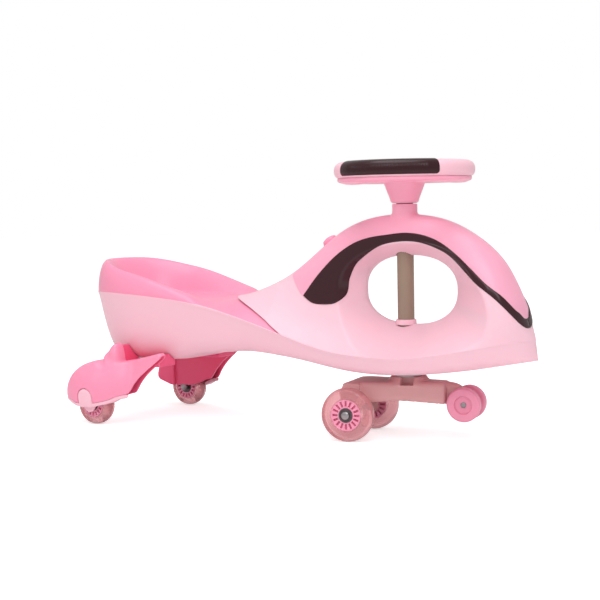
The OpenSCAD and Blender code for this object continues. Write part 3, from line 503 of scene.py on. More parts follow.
@dataclass(frozen=True)
class Finish:
    """A material by its real name, and the record slot that it belongs to.

    Attributes:
        name: Name of the real material.
        slot: Material slot in the record; not used by the script.
        colour: Its colour.
        shade: Colour of its slightly darker places.
        rough: Roughness of the surface.
        grain: Kind of its fine structure.
        size: Size of that structure in millimetres.
        depth: Height of that structure in millimetres.
        metal: 1 for bare metal.
        inner: Share of light that enters the material and comes out near by.
        reach: How far that light travels, in millimetres.
        coat: Weight of a clear gloss on top.
        shine: Strength of the mirror light of a plastic, 0.5 for a plain one.
        glow: Brightness that only the camera sees, for the paper of the stage.
        clear: Share of light that passes through the material.
    """

    name: str
    slot: str
    colour: str
    shade: str
    rough: float
    grain: Grain
    size: float
    depth: float
    metal: float = 0.0
    inner: float = 0.0
    reach: float = 1.0
    coat: float = 0.0
    shine: float = 0.5
    glow: float = 0.0
    clear: float = 0.0

    def material(self) -> bpy.types.Material:
        """Builds the material once, and returns it each time.

        Fine noise of the grain's size gives the bumps and a little change of roughness, and
        noise sixty times as wide mixes the two colours.

        Returns:
            The material.
        """
        known = bpy.data.materials.get(self.name)
        if known:
            return known
        made = bpy.data.materials.new(self.name)
        made.use_nodes = True
        tree = made.node_tree
        tree.nodes.clear()
        # Drawn lines on plated steel run along one direction, and cast plastic is cloudy in more detail.
        stretch = (1.0, 1.0, 8.0) if self.grain is Grain.PLATED else (1.0, 1.0, 1.0)
        detail = 6.0 if self.grain is Grain.CAST else 3.0
        per_metre = 1.0 / (self.size * MM)
        place = add_node(tree, "ShaderNodeTexCoord").outputs["Object"]
        place = add_node(tree, "ShaderNodeMapping", {"Vector": place, "Scale": stretch}).outputs["Vector"]
        noise = {"Vector": place, "Scale": per_metre, "Detail": detail}
        fine = add_node(tree, "ShaderNodeTexNoise", noise).outputs["Fac"]
        noise = {"Vector": place, "Scale": per_metre / 60.0, "Detail": 2.0}
        cloud = add_node(tree, "ShaderNodeTexNoise", noise).outputs["Fac"]
        colours = {"Factor": cloud, 6: linear(self.colour), 7: linear(self.shade)}
        mix = add_node(tree, "ShaderNodeMix", colours, data_type="RGBA")
        span = {"Value": fine, "To Min": 0.85 * self.rough, "To Max": 1.15 * self.rough}
        rough = add_node(tree, "ShaderNodeMapRange", span).outputs["Result"]
        relief = {"Height": fine, "Distance": self.depth * MM, "Strength": 1.0}
        bump = add_node(tree, "ShaderNodeBump", relief).outputs["Normal"]
        glow = 0.0
        if self.glow:
            seen = add_node(tree, "ShaderNodeLightPath").outputs["Is Camera Ray"]
            shown = {"Value": seen, "To Max": self.glow}
            glow = add_node(tree, "ShaderNodeMapRange", shown).outputs["Result"]
        shader = add_node(
            tree,
            "ShaderNodeBsdfPrincipled",
            {
                "Base Color": mix.outputs[2],
                "Roughness": rough,
                "Normal": bump,
                "Metallic": self.metal,
                "Subsurface Weight": self.inner,
                "Subsurface Radius": (1.0, 0.45, 0.5),
                "Subsurface Scale": self.reach * MM,
                "Coat Weight": self.coat,
                "Coat Roughness": 0.08,
                "Specular IOR Level": self.shine,
                "Emission Color": (1.0, 1.0, 1.0, 1.0),
                "Emission Strength": glow,
                "Transmission Weight": self.clear,
                "IOR": 1.35 if self.clear else 1.5,
            },
        )
        add_node(tree, "ShaderNodeOutputMaterial", {"Surface": shader.outputs["BSDF"]})
        return made


# Pale polypropylene: soft satin gloss, a faint orange peel and light that spreads in the wall.
PALE_SHELL = Finish(
    "pale_polypropylene", "pale_shell", "#F3C1CE", "#F1BDCB",
    rough=0.34, grain=Grain.MOULDED, size=1.2, depth=0.012, inner=0.2, reach=4.0, shine=0.35,
)
# Rose polypropylene: the same moulding compound with more pigment.
ROSE_SHELL = replace(
    PALE_SHELL, name="rose_polypropylene", slot="rose_shell", colour="#F596B4", shade="#F390AF", rough=0.30
)
# Light rose polypropylene of the hood: a milkier batch of the same colour.
HOOD_SHELL = replace(
    ROSE_SHELL, name="light_rose_polypropylene", colour="#F5A8BF", shade="#F4A2BB", rough=0.32
)
# Painted shade: the same rose plastic, made deeper and redder for the faces inside the leg covers and on
# their inner sides, which lie in shade.
ROSE_PAINTED_SHADE = replace(
    ROSE_SHELL, name="backlit_rose_polypropylene", colour="#F2628A", shade="#EE5A84", rough=0.34, shine=0.25
)
# Black-brown ABS: deep gloss that mirrors the lights.
DARK_TRIM = Finish(
    "gloss_abs", "dark_trim", "#3A1B22", "#33181E",
    rough=0.10, grain=Grain.MOULDED, size=2.0, depth=0.003, shine=0.3,
)
# Soft thermoplastic rubber: dark, with a half gloss and fine grain.
DARK_GRIP = Finish(
    "thermoplastic_rubber", "dark_grip", "#34171D", "#2E1419",
    rough=0.22, grain=Grain.MOULDED, size=0.7, depth=0.008, shine=0.25,
)
# Powder-coated steel tube: even, softly shining paint with a fine texture.
COLUMN_PAINT = Finish(
    "powder_coat", "column_paint", "#97826F", "#8B7767",
    rough=0.38, grain=Grain.PAINTED, size=0.9, depth=0.015,
)
# Filled polypropylene of the bogie: duller and greyer than the shells.
BOGIE_PLASTIC = Finish(
    "filled_polypropylene", "bogie_plastic", "#DEA9AA", "#D69E9F",
    rough=0.42, grain=Grain.MOULDED, size=1.0, depth=0.02, shine=0.35,
)
# Acetal bushes: waxy off-white.
BUSH_PLASTIC = Finish(
    "acetal", "bush_plastic", "#EFE9E4", "#E6DFD9",
    rough=0.35, grain=Grain.MOULDED, size=1.0, depth=0.01,
)
# Cast polyurethane tyres: glossy and clouded, with much light passing through.
CAST_TYRE = Finish(
    "cast_polyurethane", "cast_tyre", "#FBC2C6", "#F5B2B7",
    rough=0.12, grain=Grain.CAST, size=1.6, depth=0.015, coat=0.2, clear=0.7,
)
# Rose nylon hubs: clean moulded gloss.
WHEEL_PLASTIC = Finish(
    "rose_nylon", "wheel_plastic", "#F09CB6", "#EC94B0",
    rough=0.30, grain=Grain.MOULDED, size=1.0, depth=0.01, inner=0.15, reach=2.0, shine=0.35,
)
# Bearing steel with dark shields: darker and duller than the plated pieces.
BEARING_STEEL = Finish(
    "bearing_steel", "plated_steel", "#6B6163", "#5A5052",
    rough=0.38, grain=Grain.PLATED, size=0.8, depth=0.006, metal=1.0,
)
# Zinc-plated steel: grey metal with fine drawn lines.
PLATED_STEEL = Finish(
    "zinc_plate", "plated_steel", "#A9A5A6", "#8E8A8C",
    rough=0.34, grain=Grain.PLATED, size=0.8, depth=0.008, metal=1.0,
)
# White paper of the stage: matt, and bright to the camera alone.
WHITE_PAPER = Finish(
    "white_paper", "stage", "#F7F5F5", "#F5F3F3",
    rough=0.9, grain=Grain.PAINTED, size=3.0, depth=0.01, glow=0.55,
)


def add_piece(
    name: str,
    surface: Surface,
    finish: Finish,
    body: str,
    stands_for: Sequence[str] = (),
    wall: float = 0.0,
    edge: float = 0.0,
    crease: float = 45.0,
) -> bpy.types.Object:
    """Makes a piece of the car out of a surface.

    Args:
        name: Name of the piece.
        surface: Its surface in the row frame, in millimetres.
        finish: Its material.
        body: The body that it moves with.
        stands_for: The nodes of the frame that it replaces.
        wall: Thickness that is added inwards, for a shell.
        edge: Size of the rounding of its sharp edges.
        crease: Angle in degrees above which an edge stays sharp.
    Returns:
        The new object.
    """
    mesh = bpy.data.meshes.new(name)
    faces = surface.faces
    twice = faces == np.roll(faces, -1, axis=1)
    short = twice.any(axis=1)
    quads = faces[~short]
    tris = faces[short][~twice[short]].reshape(-1, 3)
    mesh.from_pydata((surface.points * MM).tolist(), [], quads.tolist() + tris.tolist())
    mesh.validate()
    mesh.polygons.foreach_set("use_smooth", np.ones(len(mesh.polygons), bool))
    mesh.set_sharp_from_angle(angle=math.radians(crease))
    made = bpy.data.objects.new(name, mesh)
    bpy.context.scene.collection.objects.link(made)
    mesh.materials.append(finish.material())
    if wall:
        skin = made.modifiers.new("wall", "SOLIDIFY")
        skin.thickness = wall * MM
        skin.offset = -1.0
        skin.use_even_offset = False
        skin.use_rim = True
        skin.thickness_clamp = 1.0
    if edge:
        soft = made.modifiers.new("edge", "BEVEL")
        soft.width = edge * MM
        soft.segments = 2
        soft.limit_method = "ANGLE"
        soft.angle_limit = math.radians(50)
    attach(made, body)
    if stands_for:
        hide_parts(*stands_for)
    LOG.info("%s: %d points, %d faces", name, len(mesh.vertices), len(mesh.polygons))
    return made


def dress_node(name: str, finish: Finish) -> None:
    """Gives a node of the frame its material; its mesh stays as it is.

    Args:
        name: Name of the node.
        finish: Its material.
    """
    made = frame["nodes"][name]
    made.data.materials.clear()
    made.data.materials.append(finish.material())
    LOG.info("%s: dressed as %s", name, finish.name)


# Places that the frame gives


@dataclass(frozen=True)
class Layout:
    """Main places and sizes of the car in millimetres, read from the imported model."""

    column_x: float
    steer: float
    column_r: float
    front_axle_back: float
    front_half: float
    front_r: float
    tread: float
    safety_ahead: float
    safety_half: float
    safety_r: float
    safety_width: float
    safety_z: float
    rear_back: float
    rear_half: float
    rear_r: float
    rim_out: float

    @classmethod
    def read(cls) -> "Layout":
        """Reads the joints and the boxes of the nodes.

        Returns:
            The places and sizes.
        """
        joints = {j["name"]: j for j in frame["joints"]}

        def place(name: str) -> np.ndarray:
            """Place of a joint."""
            return np.asarray(joints[name]["pos_m"], float) / MM

        def size(name: str) -> np.ndarray:
            """Size of a node's box."""
            low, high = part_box(name)
            return (np.asarray(high) - np.asarray(low)) / MM

        column = place("steering_turn")[0]
        axis = joints["front_left_roll"]["axis"]
        steer = math.atan2(-axis[0], axis[1])
        back = np.array([math.cos(steer), math.sin(steer)])
        across = np.array([-math.sin(steer), math.cos(steer)])
        front = place("front_left_roll") - (column, 0, 0)
        safety = place("safety_left_roll") - (column, 0, 0)
        rear = place("rear_left_roll") - (column, 0, 0)
        rear_size = size("rear_tyre_left")
        safety_size = size("safety_wheel_left")
        safety_r = safety_size[2] / 2
        width = (safety_size[1] - 2 * safety_r * abs(math.sin(steer))) / math.cos(steer)
        return cls(
            column_x=column,
            steer=steer,
            column_r=size("column_tube")[0] / 2,
            front_axle_back=-float(front[:2] @ back),
            front_half=float(front[:2] @ across),
            front_r=size("front_tyre_left")[2] / 2,
            tread=rear_size[1],
            safety_ahead=float(safety[:2] @ back),
            safety_half=float(safety[:2] @ across),
            safety_r=safety_r,
            safety_width=float(width),
            safety_z=float(safety[2]),
            rear_back=-float(rear[0]),
            rear_half=float(rear[1]),
            rear_r=rear_size[2] / 2,
            rim_out=size("steering_wheel")[0] / 2,
        )

    def fixed(self, surface: Surface) -> Surface:
        """Sets a piece of the chassis, measured from the column, into the row frame."""
        return surface.moved((self.column_x, 0, 0))

    def steered(self, surface: Surface) -> Surface:
        """Sets a piece that turns with the column into the row frame, at the angle at rest."""
        return surface.moved((self.column_x, 0, 0), self.steer)


LAY = Layout.read()


# Body


@dataclass(frozen=True)
class BodyForm:
    """Form of the body as curves along the car, in millimetres from the column.

    Attributes:
        nose_from: Where the seam starts to round to the nose; head_from, where the head does.
        chin: How far the lower shell stands out under the nose, eased in over chin_long.
        tongue_power: Bluntness of the tongue's edge in plan; waist is its half width at the seam.
        lean: Inward slope of the tub's sides; tub_power makes its section squarish.
        bead: How far the edge of the tub stands out, over a height of bead_high, up to bead_end.
        gap: Height of the upper shell's lower edge over the seam.
        footrest: Height in which the sides widen to the footrests.
        high_power: Power of the head's section in height, and wide_power in width.
        throat: Half thickness of the wall in the hole.
        dish_edge: Width of the rounding where the dish meets the side.
        wall_foot: Share of the seat's half width at the foot of its wall, and rim_at that of the rim.
        shelf_back: How far behind the tongue's tip the seat starts to turn into its shelf, over shelf_run.
        split_x: Lower end of the line between the two grids of the upper shell.
        joint_start: Where the joint of hood and upper shell meets the ridge of the nose.
    """

    nose: float = 212.0
    nose_tip: float = 205.0
    nose_from: float = 40.0
    head_from: float = 90.0
    ridge_from: float = 150.0
    chin: float = 7.0
    chin_long: float = 100.0
    rear: float = -578.0
    seat_mid: float = -451.0
    tongue_tip: float = -296.0
    tongue_power: float = 2.6
    seat_front: float = -165.0
    waist: float = 87.0
    lean: float = 0.3
    tub_power: float = 0.3
    tub_least: float = 1.2
    bead: float = 0.9
    bead_high: float = 5.0
    bead_end: float = 110.0
    wall: float = 3.0
    gap: float = -0.9
    slit: float = 0.06
    saddle_least: float = 2.4
    footrest: float = 70.0
    high_power: float = 2.2
    wide_power: float = 2.5
    hole_x: float = 10.0
    hole_z: float = 221.5
    hole_long: float = 78.0
    hole_high: float = 51.0
    hole_power: float = 2.3
    throat: float = 4.0
    dish_edge: float = 3.0
    pan: float = 204.0
    wall_foot: float = 0.55
    rim_at: float = 0.86
    wall_power: float = 1.7
    shelf_back: float = 52.0
    shelf_run: float = 50.0
    neck_r: float = 18.6
    neck_top: float = 348.0
    split_x: float = -110.0
    joint_start: float = 195.2
    trim_lift: float = 1.9
    trim_round: float = 2.4
    crown_points: Points = (
        (-310, 205), (-262, 215.5), (-193, 246), (-103, 310), (-40, 330.5), (40, 330),
        (98, 311), (153, 269), (185, 211), (196.4, 174), (205, 151.2), (212.2, 126),
    )
    seam_points: Points = (
        (-578, 212), (-474, 212.5), (-365, 204), (-309, 195), (-257, 181), (-168, 155), (-118, 141),
        (-66, 131.5), (0, 128), (40, 128.5), (88, 134), (140, 143), (180, 150), (212, 152),
    )
    belly_points: Points = (
        (-578, 194), (-567, 163), (-547, 126), (-530, 106), (-500, 100.5), (-386, 104), (-348, 113),
        (-297, 119), (-245, 122), (-186, 118), (-140, 113), (-96, 106.5), (-54, 101.5), (-10, 99.5),
        (30, 101), (77, 104.5), (128, 111), (180, 120.5), (212, 126),
    )
    width_points: Points = (
        (-578, 108), (-430, 108), (-330, 100), (-250, 89), (-150, 87), (-50, 91), (20, 92),
        (80, 89), (150, 80), (212, 72),
    )
    head_points: Points = ((-310, 50), (-193, 48), (-90, 47), (0, 50), (90, 54), (212, 60))
    rim_points: Points = (
        (-578, 266.4), (-541, 263.9), (-488, 251.9), (-435, 239.9), (-384, 224.8), (-334, 209.7), (-306, 204),
    )
    flare_points: Points = (
        (-8, 0.62), (-1.6, 0.67), (4.3, 0.77), (20, 0.95), (45, 1.2), (90, 1.7), (135, 1.75), (180, 1.5),
        (225, 1.8), (270, 2.0), (304.3, 1.66), (319.2, 1.14), (327, 0.85), (332, 0.71), (336, 0.64),
        (340.4, 0.60), (346.7, 0.59), (352.1, 0.62), (358.4, 0.67), (364.3, 0.77),
    )
    trim_upper: Points = (
        (193.5, 183.5), (189, 194), (172, 216), (150, 234), (126, 256), (99, 278), (72, 294), (45, 303),
        (18, 306), (-8, 304), (-50, 298), (-77, 288), (-104, 270), (-131, 243), (-155, 211.5),
    )
    trim_lower: Points = (
        (197.2, 170), (183, 192), (163, 213), (140, 231), (115, 250), (88, 274), (61, 287), (34, 293),
        (7, 293), (-20, 288), (-46, 276), (-69, 259), (-81, 238), (-85.5, 213), (-95, 202), (-116, 199),
        (-137, 201), (-155, 211.5),
    )
    joint_points: Points = (
        (185, 195), (167, 214.5), (145, 232.5), (121, 253), (94, 276), (67, 291), (12, 299.8), (-48, 288),
        (-88, 246.3), (-121.4, 213.7), (-155, 211.6),
    )
    hood_rear_points: Points = ((-171, 227), (-186, 242), (-206, 256))

    def crown(self, x: np.ndarray) -> np.ndarray:
        """Height of the middle line of the head and saddle at x."""
        return curve(x, self.crown_points)

    def ridge(self, z: np.ndarray) -> np.ndarray:
        """Place of the front ridge of the nose at the height z."""
        x = np.linspace(self.nose, self.ridge_from, 800)
        return np.interp(z, self.crown(x), x)

    def seam(self, x: np.ndarray) -> np.ndarray:
        """Height of the seam between lower and upper shells.

        Args:
            x: Places along the car.
        Returns:
            The heights, which stay a little below the crown under the tongue.
        """
        free = curve(x, self.seam_points)
        under = (np.asarray(x) > self.tongue_tip) & (np.asarray(x) < 0.0)
        return np.where(under, np.minimum(free, self.crown(x) - self.saddle_least), free)

    def lip(self, x: np.ndarray) -> np.ndarray:
        """Height of the lower edge of the upper shell at x."""
        return self.seam(x) + self.gap

    def belly(self, x: np.ndarray) -> np.ndarray:
        """Height of the underside at x."""
        return np.minimum(curve(x, self.belly_points), self.seam(x) - self.tub_least)

    @staticmethod
    def end_round(x: np.ndarray, start: float, end: float) -> np.ndarray:
        """Quarter ellipse that falls from 1 at start to 0 at end."""
        s = np.clip((np.asarray(x, float) - start) / (end - start), 0.0, 1.0)
        return np.sqrt(np.maximum(0.0, 1.0 - s * s))

    def seam_half(self, x: np.ndarray) -> np.ndarray:
        """Half width at the seam at x."""
        return (
            curve(x, self.width_points)
            * self.end_round(x, self.nose_from, self.nose_tip)
            * self.end_round(x, self.seat_mid, self.rear)
        )

    def slim_half(self, x: np.ndarray) -> np.ndarray:
        """Half thickness of the head at x, above the flare of the footrests."""
        slim = curve(x, self.head_points) * self.end_round(x, self.head_from, self.nose + 0.3)
        return np.minimum(self.seam_half(x), slim)

    def flank(self, x: np.ndarray, z: np.ndarray) -> np.ndarray:
        """Half thickness of the head without its hole.

        A rounded section of the head's own thickness, widened towards the seam by a square
        curve that makes the footrests.

        Args:
            x: Places along the car.
            z: Heights.
        Returns:
            The half thickness there.
        """
        seam, crown = self.seam(x), self.crown(x)
        tall = np.maximum(crown - seam, 0.5)
        t = np.clip((z - seam) / tall, 0.0, 1.0)
        f = np.clip((z - seam) / np.minimum(self.footrest, 0.95 * tall), 0.0, 1.0)
        slim = self.slim_half(x)
        section = np.maximum(0.0, 1.0 - t**self.high_power) ** (1 / self.wide_power)
        return slim * section + (self.seam_half(x) - slim) * (1.0 - f) ** 2

    def throat_r(self, u: np.ndarray) -> np.ndarray:
        """Radius of the hole, a squarish ellipse, at the angle u about its middle."""
        n = self.hole_power
        return (np.abs(np.cos(u) / self.hole_long) ** n + np.abs(np.sin(u) / self.hole_high) ** n) ** (-1 / n)

    def dish(self, x: np.ndarray, z: np.ndarray) -> np.ndarray:
        """Half thickness that the flared side of the hole leaves, rising evenly outside the hole.

        Args:
            x: Places along the car.
            z: Heights.
        Returns:
            The half thickness there.
        """
        dx, dz = x - self.hole_x, z - self.hole_z
        u = np.arctan2(dz, dx)
        flare = curve(np.degrees(u) % 360.0, self.flare_points)
        return self.throat + flare * (np.hypot(dx, dz) - self.throat_r(u))

    def head(self, x: np.ndarray, z: np.ndarray) -> np.ndarray:
        """Half thickness of the finished head: the lesser of flank and dish, rounded where they meet."""
        return np.maximum(0.0, soft_min(self.flank(x, z), self.dish(x, z), self.dish_edge))

    def top(self, x: np.ndarray, y: np.ndarray) -> np.ndarray:
        """Height of the top of the head at x and y, near the crown."""
        share = np.clip(np.abs(y) / np.maximum(self.slim_half(x), 1e-6), 0.0, 1.0)
        return blend(self.seam(x), self.crown(x), (1.0 - share**self.wide_power) ** (1 / self.high_power))

    def skin(self, xz: np.ndarray) -> np.ndarray:
        """Points on the right side of the head, for x and z along the last axis of xz."""
        x, z = xz[..., 0], xz[..., 1]
        return np.stack([x, -self.head(x, z), z], -1)

    def tub_field(self, x: np.ndarray, y: np.ndarray, z: np.ndarray) -> np.ndarray:
        """Lower body as a squarish half ellipse in each section.

        Args:
            x: Places along the car.
            y: Places across it.
            z: Heights.
        Returns:
            About the distance from it, negative inside.
        """
        top, low = self.seam(x), self.belly(x)
        deep = np.maximum(top - low, 1.0)
        half = np.maximum(self.seam_half(x) - self.lean * np.clip(top - z, 0, deep), 1.0)
        n = 2 / self.tub_power
        share = ((np.abs(y) / half) ** n + (np.maximum(top - z, 0.0) / deep) ** n) ** (1 / n)
        return (share - 1.0) * np.minimum(deep, half)


FORM = BodyForm()


@dataclass(frozen=True)
class Body:
    """The shells of the body: lower shell, upper shell, hood, trim and seat.

    Attributes:
        form: The curves of the body.
        lay: Places read from the frame.
        counts: Rows of the head's grid along the joint, the split, the seam and the nose.
        merge: Distance within which the points of two halves count as one, in millimetres.
    """

    form: BodyForm
    lay: Layout
    counts: tuple[int, ...] = (150, 56, 110, 30)
    merge: float = 0.001

    def lower_shell(self) -> Surface:
        """Tub under the seam.

        Each section is a squarish half ellipse that leans inwards, z = top - deep sin(a)^0.3 and
        y = half cos(a)^0.3; its upper edge stands out a little as a bead, and towards the nose
        its lower part is set forwards as a chin.

        Returns:
            The sheet, without its wall.
        """
        f = self.form
        x = blend(f.rear, f.nose_tip, eased(240))[:, None]
        t = np.linspace(0.0, 1.0, 45)[None, :]
        power = 1 / f.tub_power
        angle = np.pi / 2 * t**power / (t**power + (1 - t) ** power)
        top, low = f.seam(x), f.belly(x)
        z = top - (top - low) * np.sin(angle) ** f.tub_power
        fade = smooth((f.bead_end - x) / 80.0) * smooth(f.seam_half(x) / 20.0)
        bead = f.bead * np.exp(-(((top - z) / f.bead_high) ** 2)) * fade
        y = np.maximum(f.seam_half(x) - f.lean * (top - z), 0.0) * np.cos(angle) ** f.tub_power + bead
        y[:, -1] = 0.0
        fall = np.clip((top - z) / np.maximum(top - low, 1.0), 0.0, 1.0)
        ahead = x + f.chin * smooth((x - f.nose_tip + f.chin_long) / f.chin_long) * fall
        half = Surface.grid(np.stack([ahead, -y, z], -1))
        return half.joined(half.mirrored()).welded()

    @staticmethod
    def along(height: Curve, start: float, end: float, count: int) -> np.ndarray:
        """Line along the car from start to end, as an array (count, 2) of x and its height."""
        x = np.linspace(start, end, count)
        return np.stack([x, height(x)], -1)

    def split(self) -> np.ndarray:
        """Line down the side of the head between the two grids of the upper shell.

        Returns:
            An array (places, 2) of x and z.
        """
        f = self.form
        low = np.array([f.split_x, float(f.lip(np.array(f.split_x)))])
        return np.linspace(np.asarray(f.joint_points[-2], float), low, 80)

    def ridge_meet(self) -> np.ndarray:
        """Line of the hood joint from the ridge of the nose to its lowest place at the rear.

        Returns:
            An array (places, 2) of x and z.
        """
        f = self.form
        start = (f.joint_start, float(f.crown(np.array(f.joint_start))))
        return line_through((start, *f.joint_points[:-1]), 400)

    def rear_edge(self) -> np.ndarray:
        """Line from the lowest place of the joint to the tail and up the hood's rear edge to the crown.

        Returns:
            An array (places, 2) of x and z.
        """
        f = self.form
        line = line_through((*f.joint_points[-2:], *f.hood_rear_points), 400)
        line = line[line[:, 1] < f.crown(line[:, 0])]
        line[-1, 1] = f.crown(line[-1, 0])
        return line

    def head_side(self) -> np.ndarray:
        """Points on the right side of the head below the hood.

        The rows go round the hole, and the columns run from its throat out to the border, which is
        made of the joint, the split, the seam and the ridge of the nose.

        Returns:
            An array (rows, columns, 3).
        """
        f = self.form
        end_x = f.nose_tip - 0.01
        joint, split = self.ridge_meet(), self.split()
        seam = self.along(f.lip, f.split_x, end_x, 300)
        ridge = self.along(f.crown, end_x, joint[0, 0], 60)
        off = np.concatenate([joint, split[1:], seam[1:], ridge]) - (f.hole_x, f.hole_z)
        turn = np.unwrap(np.arctan2(off[:, 1], off[:, 0]))
        corners = turn[np.cumsum([0, len(joint) - 1, len(split) - 1, len(seam) - 1])]
        ends = np.append(corners, corners[0] + 2 * np.pi)
        spans = zip(ends, ends[1:], self.counts)
        u = np.concatenate([np.linspace(a, b, n, endpoint=False) for a, b, n in spans])
        out = np.interp(u, turn, np.hypot(off[:, 0], off[:, 1]), period=2 * np.pi)
        r = blend(f.throat_r(u)[:, None], out[:, None], eased(70)[None, :])
        u = u[:, None]
        side = f.skin(np.stack([f.hole_x + r * np.cos(u), f.hole_z + r * np.sin(u)], -1))
        side[sum(self.counts[:3]) :, -1, 1] = 0.0
        side[0, -1, 1] = 0.0
        return side

    def tongue_edge(self) -> np.ndarray:
        """Edge of the tongue from the seam to its tip.

        In plan, x leaves the tip with a power of the share of the half width; z is where the side
        of the head has that half width.

        Returns:
            An array (places, 2) of x and z.
        """
        f = self.form
        share = np.linspace(1.06, 0.0, 400)
        x = blend(f.tongue_tip, f.seat_front, 0.98 * share**f.tongue_power)
        y = share * f.waist
        levels = 600
        high = blend(f.seam(x)[:, None], f.crown(x)[:, None], np.linspace(0, 1, levels))
        pick = (f.flank(x[:, None], high) > y[:, None]).sum(1).clip(1, levels - 1)
        edge = np.stack([x, high[np.arange(len(x)), pick]], -1)
        return edge[y < f.seam_half(x) - 0.1]

    def saddle(self, split: np.ndarray) -> Surface:
        """Right half of the saddle from the split to the tip of the tongue.

        Straight lines on the side of the head run from the seam and the edge of the tongue up to
        the rear edge of the hood and the crown.

        Args:
            split: Points on the split, from its top down, which the saddle shares with the head.
        Returns:
            The surface, whose first row is the split.
        """
        f = self.form
        rows = 150
        upper = self.rear_edge()
        upper = np.concatenate([upper, self.along(f.crown, upper[-1, 0], f.tongue_tip, 100)[1:]])
        edge = self.tongue_edge()
        lower = np.concatenate([self.along(f.lip, f.split_x, edge[0, 0], 120), edge[1:]])
        lower[-1] = upper[-1]
        upper, lower = spaced(upper, rows), spaced(lower, rows)
        first = split[::-1]
        reach = np.linalg.norm(first[:, [0, 2]] - lower[0], axis=1) / np.linalg.norm(upper[0] - lower[0])
        close = np.sin(np.linspace(0, np.pi / 2, len(first))) ** 1.2
        settle = smooth(3 * np.linspace(0, 1, rows))[:, None]
        share = blend(reach[None, :], close[None, :], settle)
        over = f.skin(blend(lower[:, None], upper[:, None], share[..., None]))
        over[0] = first
        over[upper[:, 1] > f.crown(upper[:, 0]) - 0.05, -1, 1] = 0.0
        over[-1, :, 1] = 0.0
        return Surface.grid(over)

    def upper_shell(self) -> Surface:
        """Head below the hood with its flared hole, and the saddle with its tongue.

        Inside the hole the surface is carried on to the middle of the car.

        Returns:
            The sheet, without its wall.
        """
        f = self.form
        side = self.head_side()
        throat = side[:, :1]
        middle = throat.copy()
        middle[..., 1] = 0.0
        points = np.concatenate([middle, blend(middle, throat, 0.5), side], 1)
        first, count = self.counts[:2]
        half = Surface.grid(points, close_rows=True).joined(self.saddle(side[first : first + count + 1, -1]))
        whole = half.joined(half.mirrored()).welded(self.merge)
        return whole.pierced((0, 0, f.hole_z), (0, 0, 1), self.lay.column_r + 1.0, 200.0)

    def hood(self) -> Surface:
        """Hood over the head.

        Straight lines on the side of the head run from the joint and the rear edge to the crown,
        closer together near the crown; the half thickness of the head gives their y.

        Returns:
            The sheet, without its wall.
        """
        f = self.form
        rows, columns = 260, 60
        low = spaced(np.concatenate([self.ridge_meet(), self.rear_edge()[1:]]), rows)
        low[:, 1] += f.slit * np.sin(np.linspace(0, np.pi, rows)) ** 0.3
        crown = spaced(self.along(f.crown, low[0, 0], low[-1, 0], 600), rows)
        share = 1 - (1 - np.linspace(0, 1, columns)) ** 2
        side = f.skin(blend(low[:, None], crown[:, None], share[None, :, None]))
        side[:, -1, 1] = 0.0
        side[0, :, 1] = 0.0
        side[-1, :, 1] = 0.0
        half = Surface.grid(side)
        return half.joined(half.mirrored()).welded(self.merge)

    def neck(self) -> Surface:
        """Short neck round the column, which rises from the hood in a hollow curve.

        The foot of the neck lies on the hood and turns up along a quarter circle.

        Returns:
            The closed surface.
        """
        f = self.form
        fillet = 5.0
        steps = 96
        inside_low = 300.0
        turn = np.linspace(0, 2 * np.pi, steps, endpoint=False)[:, None]
        s = np.linspace(1, 0, 24)[None, :]
        r = f.neck_r + fillet * s
        rise = fillet * (1 - np.sqrt(np.maximum(0.0, 1 - (1 - s) ** 2)))
        foot = f.top(r * np.cos(turn), r * np.sin(turn)) + rise - 0.05
        inner = self.lay.column_r + 3.4
        outer, high = f.neck_r, f.neck_top
        corners = ((outer, 0, 0), (outer, high, 1.6), (inner, high, 0.5), (inner, inside_low, 0))
        top = rounded(corners, closed=False)[6:]
        r = np.concatenate([r + 0 * turn, np.broadcast_to(top[:, 0], (steps, len(top)))], 1)
        z = np.concatenate([foot, np.broadcast_to(top[:, 1], (steps, len(top)))], 1)
        points = np.stack([r * np.cos(turn), r * np.sin(turn), z], -1)
        return Surface.grid(points, close_rows=True, close_columns=True).outward()

    def trim_border(self, points: Points, count: int) -> np.ndarray:
        """One border of the trim, which starts on the ridge of the nose.

        Args:
            points: Points of the border; only the height of the first one counts.
            count: How many points are returned, closer together towards the nose.
        Returns:
            An array (count, 1, 2) of x and z.
        """
        fine = 4000
        along = np.linspace(0, 1, count)
        pick = np.rint(blend(along, along**2, 0.8) * (fine - 1)).astype(int)
        start = points[0][1]
        return line_through(((self.form.ridge(start), start), *points[1:]), fine)[pick][:, None]

    def trim(self) -> Surface:
        """Dark swoosh on one side of the head: a band between two lines, raised with round shoulders.

        Returns:
            The closed surface.
        """
        f = self.form
        rows, columns = 320, 30
        sunk, deep = 0.2, 1.0
        lower, upper = self.trim_border(f.trim_lower, rows), self.trim_border(f.trim_upper, rows)
        share = eased(columns)
        base = f.skin(blend(lower, upper, share[None, :, None]))
        base[0, :, 0] = f.ridge(base[0, :, 2])
        base[0, :, 1] = 0.0
        normal = Surface.grid(base).normals().reshape(rows, columns, 3)
        normal *= -np.sign(normal[rows // 2, columns // 2, 1])
        normal[0, :, 1] = 0.0
        normal /= np.linalg.norm(normal, axis=-1, keepdims=True) + 1e-9
        width = np.linalg.norm(base[:, -1] - base[:, 0], axis=1)[:, None]
        rim = np.minimum(share, 1 - share)[None, :] * width
        lift = f.trim_lift * shoulder(rim / f.trim_round)
        out = base + normal * (lift - sunk)[..., None]
        back = base - normal * deep
        return Surface.grid(np.concatenate([out, back[:, ::-1]], 1), close_columns=True).welded(0.01)

